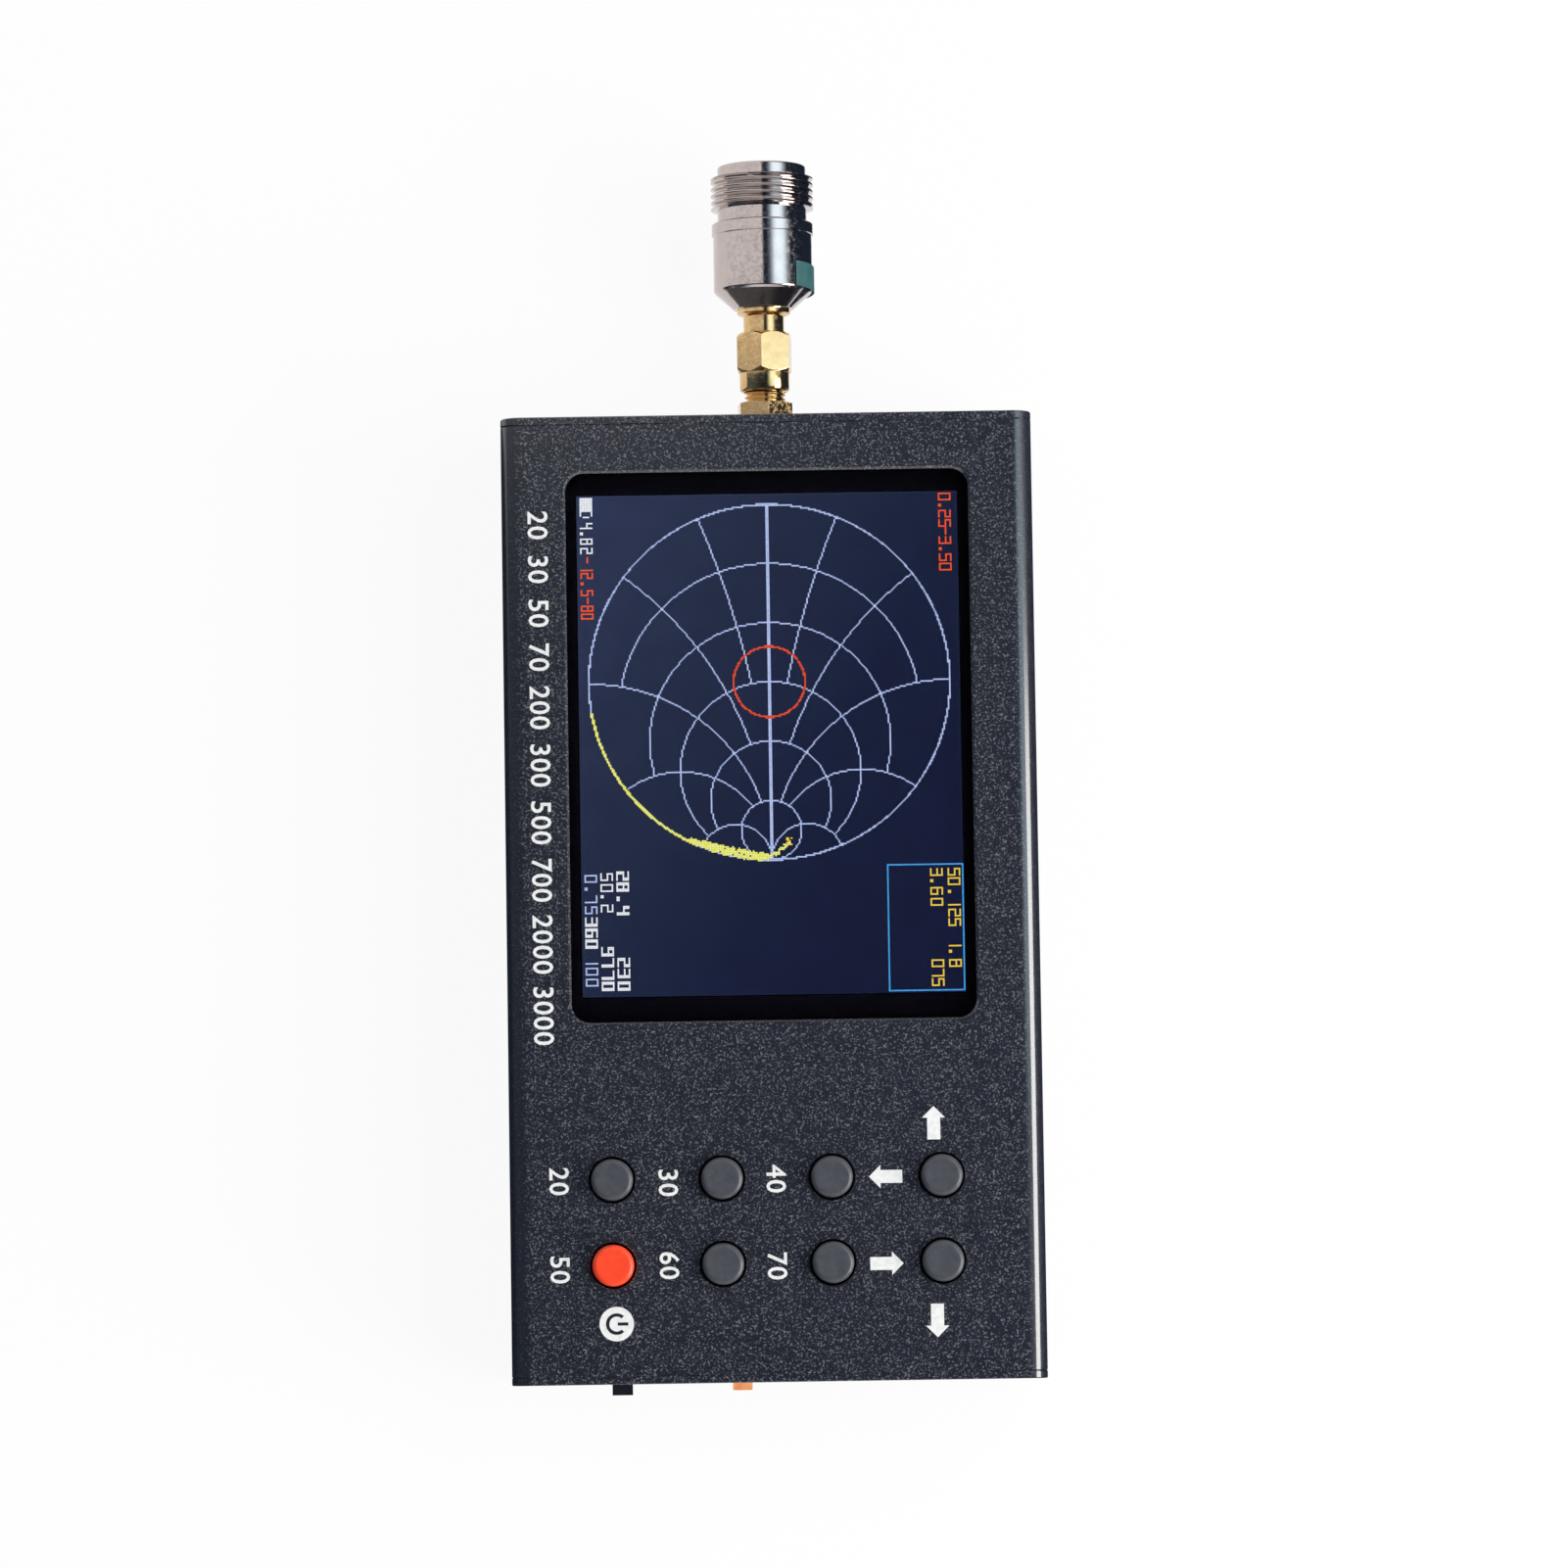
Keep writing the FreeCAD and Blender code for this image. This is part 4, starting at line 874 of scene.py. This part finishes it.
def make_ink(name):
    columns, rows = np.nonzero(picture == INKS.index(name))
    corner = np.array([[0, 0], [1, 0], [1, 1], [0, 1]]) * (1 - 2 * CELL_GAP) + CELL_GAP
    low = np.stack([columns, rows], -1)[:, None, :] + corner[None]
    flat = picture_low + low * cell
    top = glass_high.z + CELL_LIFT
    points = np.concatenate([flat, np.full(flat.shape[:2] + (1,), top)], -1)
    cells = mesh_piece("cells_" + name, points, np.arange(4 * len(columns)).reshape(-1, 4))
    finish_piece(cells, "lcd_glass", material=lit("glow_" + name, *GLOW[name], 1.0))


for name in GLOW:
    make_ink(name)

# %% [markdown]
# The black border is printed on the underside of the window sheet. It hides the metal frame and leaves only
# the picture. It is a flat ring: an outer and an inner round-cornered rectangle, joined point by point. A
# second ring, thin and upright, is painted shade: a black sheet along the wall of the window opening, where
# the case paint lies in shade.

# %% Black border
def round_rectangle(low, high, radius, steps=8):
    """Points of a round-cornered rectangle, counted the same way for any size, so that rings can join."""
    turn = np.linspace(0, np.pi / 2, steps)
    centres = [(high[0] - radius, high[1] - radius), (low[0] + radius, high[1] - radius),
               (low[0] + radius, low[1] + radius), (high[0] - radius, low[1] + radius)]
    arcs = [turn + quarter * np.pi / 2 for quarter in range(4)]
    return np.concatenate([
        np.stack([x + radius * np.cos(arc), y + radius * np.sin(arc)], -1)
        for arc, (x, y) in zip(arcs, centres)
    ])


def flat_ring(name, outer, inner, bottom, top):
    """A closed flat ring from an outer and an inner outline of equal point counts."""
    rings = [(outer, bottom), (outer, top), (inner, top), (inner, bottom)]
    points = np.stack([np.column_stack([line, np.full(len(line), z)]) for line, z in rings])
    return tidy_surface(grid_mesh(name, points, wrap_rows=True, wrap_columns=True))


BORDER_MARGIN, PICTURE_MARGIN = 0.1 * MM, 0.15 * MM
BORDER_CORNER, PICTURE_CORNER = 2.5 * MM, 0.2 * MM
border_low = np.array([lens_low.x, lens_low.y]) + BORDER_MARGIN
border_high = np.array([lens_high.x, lens_high.y]) - BORDER_MARGIN
border = flat_ring(
    "window_border",
    round_rectangle(border_low, border_high, BORDER_CORNER),
    round_rectangle(picture_low - PICTURE_MARGIN, picture_high + PICTURE_MARGIN, PICTURE_CORNER),
    lens_low.z + 0.01 * MM, lens_low.z + 0.03 * MM,
)
finish_piece(border, "lens_gasket", slot="gasket_black")

WINDOW_HALF, WINDOW_CORNER, GASKET_OVERLAP = 30.675 * MM, 2.8 * MM, 1.6 * MM
SHADE_SHEET_OUTER, SHADE_SHEET_INNER = 0.01 * MM, 0.06 * MM
window_low = np.array([-WINDOW_HALF, lens_low.y + GASKET_OVERLAP])
window_high = np.array([WINDOW_HALF, lens_high.y - GASKET_OVERLAP])
# The upright ring is painted shade: a black sheet on the wall of the window opening, which is case paint in
# shade.
window_wall_shade = flat_ring(
    "window_wall_painted_shade",
    round_rectangle(window_low + SHADE_SHEET_OUTER, window_high - SHADE_SHEET_OUTER, WINDOW_CORNER),
    round_rectangle(window_low + SHADE_SHEET_INNER, window_high - SHADE_SHEET_INNER, WINDOW_CORNER - SHADE_SHEET_INNER + SHADE_SHEET_OUTER),
    lens_high.z + 0.02 * MM, front_z - 0.36 * MM,
)
finish_piece(window_wall_shade, "lens_gasket", slot="gasket_black")

# %% [markdown]
# The marks on the front are screen printed: a film of white ink a few hundredths of a millimetre thick. Each
# is an outline filled and given that thickness, so it has the same tiny edge as real ink.

# %% Printed marks
INK_FILM = 0.03 * MM
print_white = moulded("print_white", (222, 222, 218), (240, 240, 236), 0.55, 1500, 0.3)


def printed_outline(name, outline, lift=0.0, ink=print_white):
    """Fill a closed outline of (x, y) points and give it the thickness of the ink film."""
    work = bmesh.new()
    foot = front_z - INK_FILM / 2 + lift
    face = work.faces.new([work.verts.new((x, y, foot)) for x, y in outline])
    lifted = bmesh.ops.extrude_face_region(work, geom=[face])
    top = [vertex for vertex in lifted["geom"] if isinstance(vertex, bmesh.types.BMVert)]
    bmesh.ops.translate(work, vec=(0, 0, INK_FILM * 1.5), verts=top)
    bmesh.ops.recalc_face_normals(work, faces=work.faces)
    finish_piece(worked(name, work), "front_case", material=ink)


def arrow(name, x, y, turn):
    """An arrow drawn pointing up (+Y) about its middle, then turned."""
    length, head, stem, head_length = 5.05 * MM, 3.55 * MM, 1.97 * MM, 1.76 * MM
    tip, shoulder = length / 2, length / 2 - head_length
    shape = np.array([
        (-stem / 2, -tip), (stem / 2, -tip), (stem / 2, shoulder), (head / 2, shoulder),
        (0, tip), (-head / 2, shoulder), (-stem / 2, shoulder),
    ])
    c, s = np.cos(np.radians(turn)), np.sin(np.radians(turn))
    printed_outline(name, shape @ np.array([[c, s], [-s, c]]) + [x, y])


ARROWS = (
    ("arrow_up", 23.8, -34.8, 0), ("arrow_left", 16.4, -42.8, 90),
    ("arrow_right", 16.4, -55.9, -90), ("arrow_down", 23.9, -64.6, 180),
)
for name, x, y, turn in ARROWS:
    arrow(name, x * MM, y * MM, turn)

# %% [markdown]
# The white disc under the red key carries the common standby sign: an open ring and a bar. The sign is dark
# because it is the bare coat showing through, so the disc is printed first and the sign lies on it.

# %% Standby disc
POWER_SIGN = np.array([-24.5, -64.4]) * MM
DISC_RADIUS, RING_OUTER, RING_INNER = 2.6 * MM, 1.62 * MM, 1.12 * MM
BAR_FOOT, BAR_HEAD, BAR_HALF = 0.15 * MM, 1.75 * MM, 0.24 * MM


def round_line(radius, turn):
    return POWER_SIGN + radius * np.stack([np.cos(turn), np.sin(turn)], -1)


def sign(name, outline):
    """A dark sign on top of the white ink."""
    printed_outline(name, outline, lift=INK_FILM / 2, ink=finishes["lever_plastic"])


printed_outline("standby_disc", round_line(DISC_RADIUS, np.linspace(0, 2 * np.pi, 64, endpoint=False)))
sweep = np.radians(np.linspace(48, 312, 40))
sign("standby_ring", np.concatenate([round_line(RING_OUTER, sweep), round_line(RING_INNER, sweep)[::-1]]))
bar = np.array([(BAR_FOOT, -BAR_HALF), (BAR_HEAD, -BAR_HALF), (BAR_HEAD, BAR_HALF), (BAR_FOOT, BAR_HALF)])
sign("standby_bar", POWER_SIGN + bar)

# %% [markdown]
# Plain numbers are text objects turned to mesh, then placed: the font gives round, even strokes that no
# hand-drawn outline would. Each number is turned so that its top points to +X, like the real print.

# %% Printed numbers
DIGIT_SHARE, SPACING, STROKE_GAIN = 0.70, 1.08, 0.05 * MM


def printed_number(name, text, x, y, height=2.9 * MM):
    """A number centred at (x, y); its tops point to +X."""
    data = bpy.data.curves.new(name, "FONT")
    data.body = text
    data.size = height / DIGIT_SHARE
    data.align_x = "CENTER"
    data.align_y = "CENTER"
    data.extrude = INK_FILM
    data.offset = STROKE_GAIN
    data.space_character = SPACING
    data.resolution_u = 3
    maker = linked(name, data)
    bpy.context.view_layer.update()
    mesh = bpy.data.meshes.new_from_object(maker.evaluated_get(bpy.context.evaluated_depsgraph_get()))
    bpy.data.objects.remove(maker)
    points = np.empty(len(mesh.vertices) * 3)
    mesh.vertices.foreach_get("co", points)
    points = points.reshape(-1, 3)
    placed = np.stack([x + points[:, 1], y - points[:, 0], front_z + points[:, 2]], -1)
    mesh.vertices.foreach_set("co", placed.ravel())
    mesh.update()
    finish_piece(tidy_surface(linked(name, mesh)), "front_case", material=print_white)


LABELS = (
    ("20", -33.1, -42.8), ("30", -16.6, -43.2), ("40", -0.3, -42.9),
    ("50", -33.1, -56.1), ("60", -16.6, -55.7), ("70", -0.3, -56.0),
)
for text, x, y in LABELS:
    printed_number("number_" + text, text, x * MM, y * MM)

# %% [markdown]
# A row of plain numbers runs down the left edge: the steps of a range that is read in decades, set closer
# where they have fewer digits. Each gets a share of the row by its count of digits and a gap.

# %% Row of numbers along the edge
ROW_X, ROW_TOP, ROW_BOTTOM = -35.1 * MM, 60.3 * MM, -23.1 * MM
SERIES = ("20", "30", "50", "70", "200", "300", "500", "700", "2000", "3000")
GAP_IN_DIGITS = 1.3
weights = np.array([len(text) + GAP_IN_DIGITS for text in SERIES])
centres = (np.cumsum(weights) - weights / 2) / weights.sum()
for text, share in zip(SERIES, centres):
    printed_number("row_number_" + text, text, ROW_X, ROW_TOP + (ROW_BOTTOM - ROW_TOP) * share, 3.0 * MM)

# %% [markdown]
# A strip of teal tape is stuck round the right side of the large shell, low on the barrel. It is a thin
# curved sheet: an arc of the barrel's circle, a few hundredths proud, with its end lifting a little.

# %% Teal tape
def make_tape():
    """An arc of the barrel, lifted more and more towards its lower end, and given a thickness."""
    barrel, gap, thickness, lean = 7.65 * MM, 0.06 * MM, 0.12 * MM, 0.35 * MM
    lift_start, lift_run, full_lift = np.radians(16), np.radians(78), 0.75 * MM
    angle = np.radians(np.linspace(49, -62, 40))
    y = np.linspace(shell_low.y + 2.95 * MM, shell_low.y + 6.8 * MM, 10)[:, None]
    lift = gap + full_lift * np.clip((lift_start - angle) / lift_run, 0, 1) ** 1.5
    y = y + lean * (angle - angle[0])
    under, over = (about_y(0, y, axis_z, barrel + lift + extra, angle) for extra in (0.0, thickness))
    loop = np.concatenate([over, under[:, ::-1]], 1)
    piece = grid_mesh("teal_tape", loop.transpose(1, 0, 2), wrap_rows=True)
    work = bmesh.new()
    work.from_mesh(piece.data)
    bmesh.ops.holes_fill(work, edges=[e for e in work.edges if e.is_boundary], sides=0)
    work.to_mesh(piece.data)
    work.free()
    teal = moulded("teal_tape", (36, 78, 80), (48, 92, 92), 0.5, 500, 0.3)
    finish_piece(tidy_surface(piece), "n_shell", slot="seal_red", material=teal)


make_tape()

# %% [markdown]
# The stage is a pale floor at the height that the back rests on. Floor and world are white for the camera,
# for reflections and through the window, so that the plated metal shows the same white studio that the
# camera sees.

# %% Floor
def seen_share(tree, share):
    """The share of white glow: `share` for camera, glossy and transmission rays, nothing for other rays."""
    path = tree.nodes.new("ShaderNodeLightPath").outputs
    seen = math_node(tree, "MAXIMUM", path["Is Camera Ray"], path["Is Glossy Ray"])
    seen = math_node(tree, "MAXIMUM", seen, path["Is Transmission Ray"])
    return math_node(tree, "MULTIPLY", seen, share)


def lying(x0, x1, y0, y1, z):
    """The corners of a level sheet."""
    return np.array([[[x0, y0, z], [x1, y0, z]], [[x0, y1, z], [x1, y1, z]]])


def make_floor():
    half, drop = 3.0, 0.2 * MM
    floor = grid_mesh("floor", lying(-half, half, -half, half, -drop))
    material, tree, shader = new_material("pale_floor", roughness=0.9, base_color=grey(0.86))
    glow = tree.nodes.new("ShaderNodeEmission")
    mix = tree.nodes.new("ShaderNodeMixShader")
    tree.links.new(seen_share(tree, 0.93), mix.inputs["Fac"])
    tree.links.new(shader.outputs[0], mix.inputs[1])
    tree.links.new(glow.outputs[0], mix.inputs[2])
    tree.links.new(mix.outputs[0], tree.nodes["Material Output"].inputs["Surface"])
    floor.data.materials.append(material)
    print("floor", 2 * half, "m wide,", drop / MM, "mm under the case")


make_floor()

# %% [markdown]
# All other rays get a plain grey fill from the world, bluish from the left, so that colours stay as written.

# %% World
BLUISH_FILL, PLAIN_FILL = (0.36, 0.39, 0.46, 1), (0.17, 0.17, 0.17, 1)


def make_world():
    world = bpy.data.worlds.new("studio")
    bpy.context.scene.world = world
    world.use_nodes = True
    tree = world.node_tree
    side = ruler(tree, axis(tree, "X", "Generated"), -1.0, 1.0)
    fill = ramp(tree, side, [(0.0, BLUISH_FILL), (1.0, PLAIN_FILL)])
    light = mixed(tree, seen_share(tree, 1.0), fill, grey(1.0))
    tree.links.new(light, tree.nodes["Background"].inputs["Color"])
    print("world:", world.name)


make_world()

# %% [markdown]
# Plated metal and gloss paint are drawn by what they mirror, so a photographer sets cards beside them. An
# arch from straight above down to the right darkens the right of everything. A second arch, on the left,
# ends where the connector's mirror view begins, so the case lies in the dark and the plated pieces keep a
# white left side. Flat cards lie on the floor for the lower half. A bright card with faded edges, on the
# right, is the soft stripe along the connector. Only reflections see the cards, so they neither shade the
# floor nor stand in the picture.

# %% Cards
DARK_CARD, LEFT_CARD = (0.018, 0.030, 0.052, 1.0), (0.085, 0.120, 0.175, 1.0)
BRIGHT_CARD = (1.55, 1.95, 2.20, 1.0)


def card_material(name, tints, span):
    """A glowing card whose tints run along X from span[0] to span[1], at even steps."""
    material = bpy.data.materials.new(name)
    material.use_nodes = True
    tree = material.node_tree
    glow = tree.nodes.new("ShaderNodeEmission")
    stops = [(step / (len(tints) - 1), tint) for step, tint in enumerate(tints)]
    tree.links.new(ramp(tree, ruler(tree, axis(tree, "X"), *span), stops), glow.inputs["Color"])
    tree.links.new(glow.outputs[0], tree.nodes["Material Output"].inputs["Surface"])
    return material


def reflection_card(name, points, tints, span):
    """A glowing sheet that only reflections see."""
    card = grid_mesh(name, points)
    card.data.materials.append(card_material(name, tints, span))
    card.visible_camera = False
    card.visible_diffuse = False
    card.visible_shadow = False
    card.visible_transmission = False
    print(name, "with", len(tints), "tints")


def arch(radius, first, last, y0, y1, steps=40):
    """Points of an arch about the Y axis, between two leans from straight up, in radians."""
    lean = np.linspace(first, last, steps)
    return about_y(0, np.array([[y0], [y1]]), 0, radius, np.pi / 2 - lean)


def between(a, b, share):
    """The colour a share of the way from a to b."""
    return tuple(p + (q - p) * share for p, q in zip(a, b))


REACH, BACK, FRONT, SOFT_EDGE, CARD_HEIGHT = 1.9, -1.8, 2.2, 0.055, 0.4 * MM
BESIDE_CASE, BESIDE_SHELL = case_high.x + 1 * MM, 13.5 * MM
CASE_END = plate_face_y + 4 * MM
mirror_slope = (plate_face_y - camera.location.y) / camera.location.z
case_mirror_end = plate_face_y + mirror_slope * (REACH + 0.10)
right_start = -np.arcsin(SOFT_EDGE / REACH)
reflection_card("card_right", arch(REACH, right_start, np.pi / 2, BACK, FRONT),
                (grey(1.0), DARK_CARD), (-SOFT_EDGE, SOFT_EDGE))
reflection_card("card_left", arch(REACH - 0.02, -np.pi / 2, -right_start, BACK, case_mirror_end),
                (LEFT_CARD, DARK_CARD), (-REACH, -0.5))
GLOW_REACH, GLOW_START, GLOW_END = 1.35, np.radians(9), np.radians(68)
GLOW_SHARES = (0, 0.05, 0.18, 0.50, 0.90, 1.0, 1.0, 1.0, 0.80, 0.30, 0)
reflection_card("card_glow", arch(GLOW_REACH, GLOW_START, GLOW_END, 0.02, 0.9),
                [between(DARK_CARD, BRIGHT_CARD, share) for share in GLOW_SHARES],
                (GLOW_REACH * np.sin(GLOW_START), GLOW_REACH * np.sin(GLOW_END)))
FLOOR_CARDS = (
    ("card_floor_shell", BESIDE_SHELL, REACH, CASE_END, FRONT, DARK_CARD, (0, 1)),
    ("card_floor_right", BESIDE_CASE, REACH, BACK, CASE_END, DARK_CARD, (0, 1)),
    ("card_floor_left", -REACH, -BESIDE_CASE, BACK, CASE_END, LEFT_CARD, (-REACH, 0)),
)
for name, x0, x1, y0, y1, tint, span in FLOOR_CARDS:
    reflection_card(name, lying(x0, x1, y0, y1, CARD_HEIGHT), (tint, DARK_CARD), span)

# %% [markdown]
# Two lamps light it. A soft box stands up on the right; metal mirrors the glowing card in its place, whose
# edges fade. A lower lamp at the right of the case alone catches the bend of its long edge.

# %% Lamps
def area_lamp(name, degrees, distance, y, size, size_y, power, tint, mirrored=True):
    """A lamp at an angle from straight up towards the right, aimed level at the connector's axis."""
    angle = np.radians(degrees)
    place, aim = (distance * np.sin(angle), y, axis_z + distance * np.cos(angle)), (0, y, axis_z)
    data = bpy.data.lights.new(name, "AREA")
    data.shape = "RECTANGLE"
    data.size, data.size_y, data.energy, data.color = size, size_y, power, tint
    lamp = bpy.data.objects.new(name, data)
    lamp.location = place
    lamp.rotation_euler = (Vector(aim) - Vector(place)).to_track_quat("-Z", "Y").to_euler()
    lamp.visible_glossy = mirrored
    bpy.context.scene.collection.objects.link(lamp)
    print(name, "at", [round(float(v), 3) for v in place])


area_lamp("soft_box", degrees=36, distance=GLOW_REACH, y=0.15, size=1.7, size_y=0.75, power=12.0,
          tint=(0.97, 0.99, 1.0), mirrored=False)
area_lamp("low_box", degrees=64, distance=1.25, y=-0.36, size=1.0, size_y=0.60, power=19.0,
          tint=(1.0, 0.985, 0.965))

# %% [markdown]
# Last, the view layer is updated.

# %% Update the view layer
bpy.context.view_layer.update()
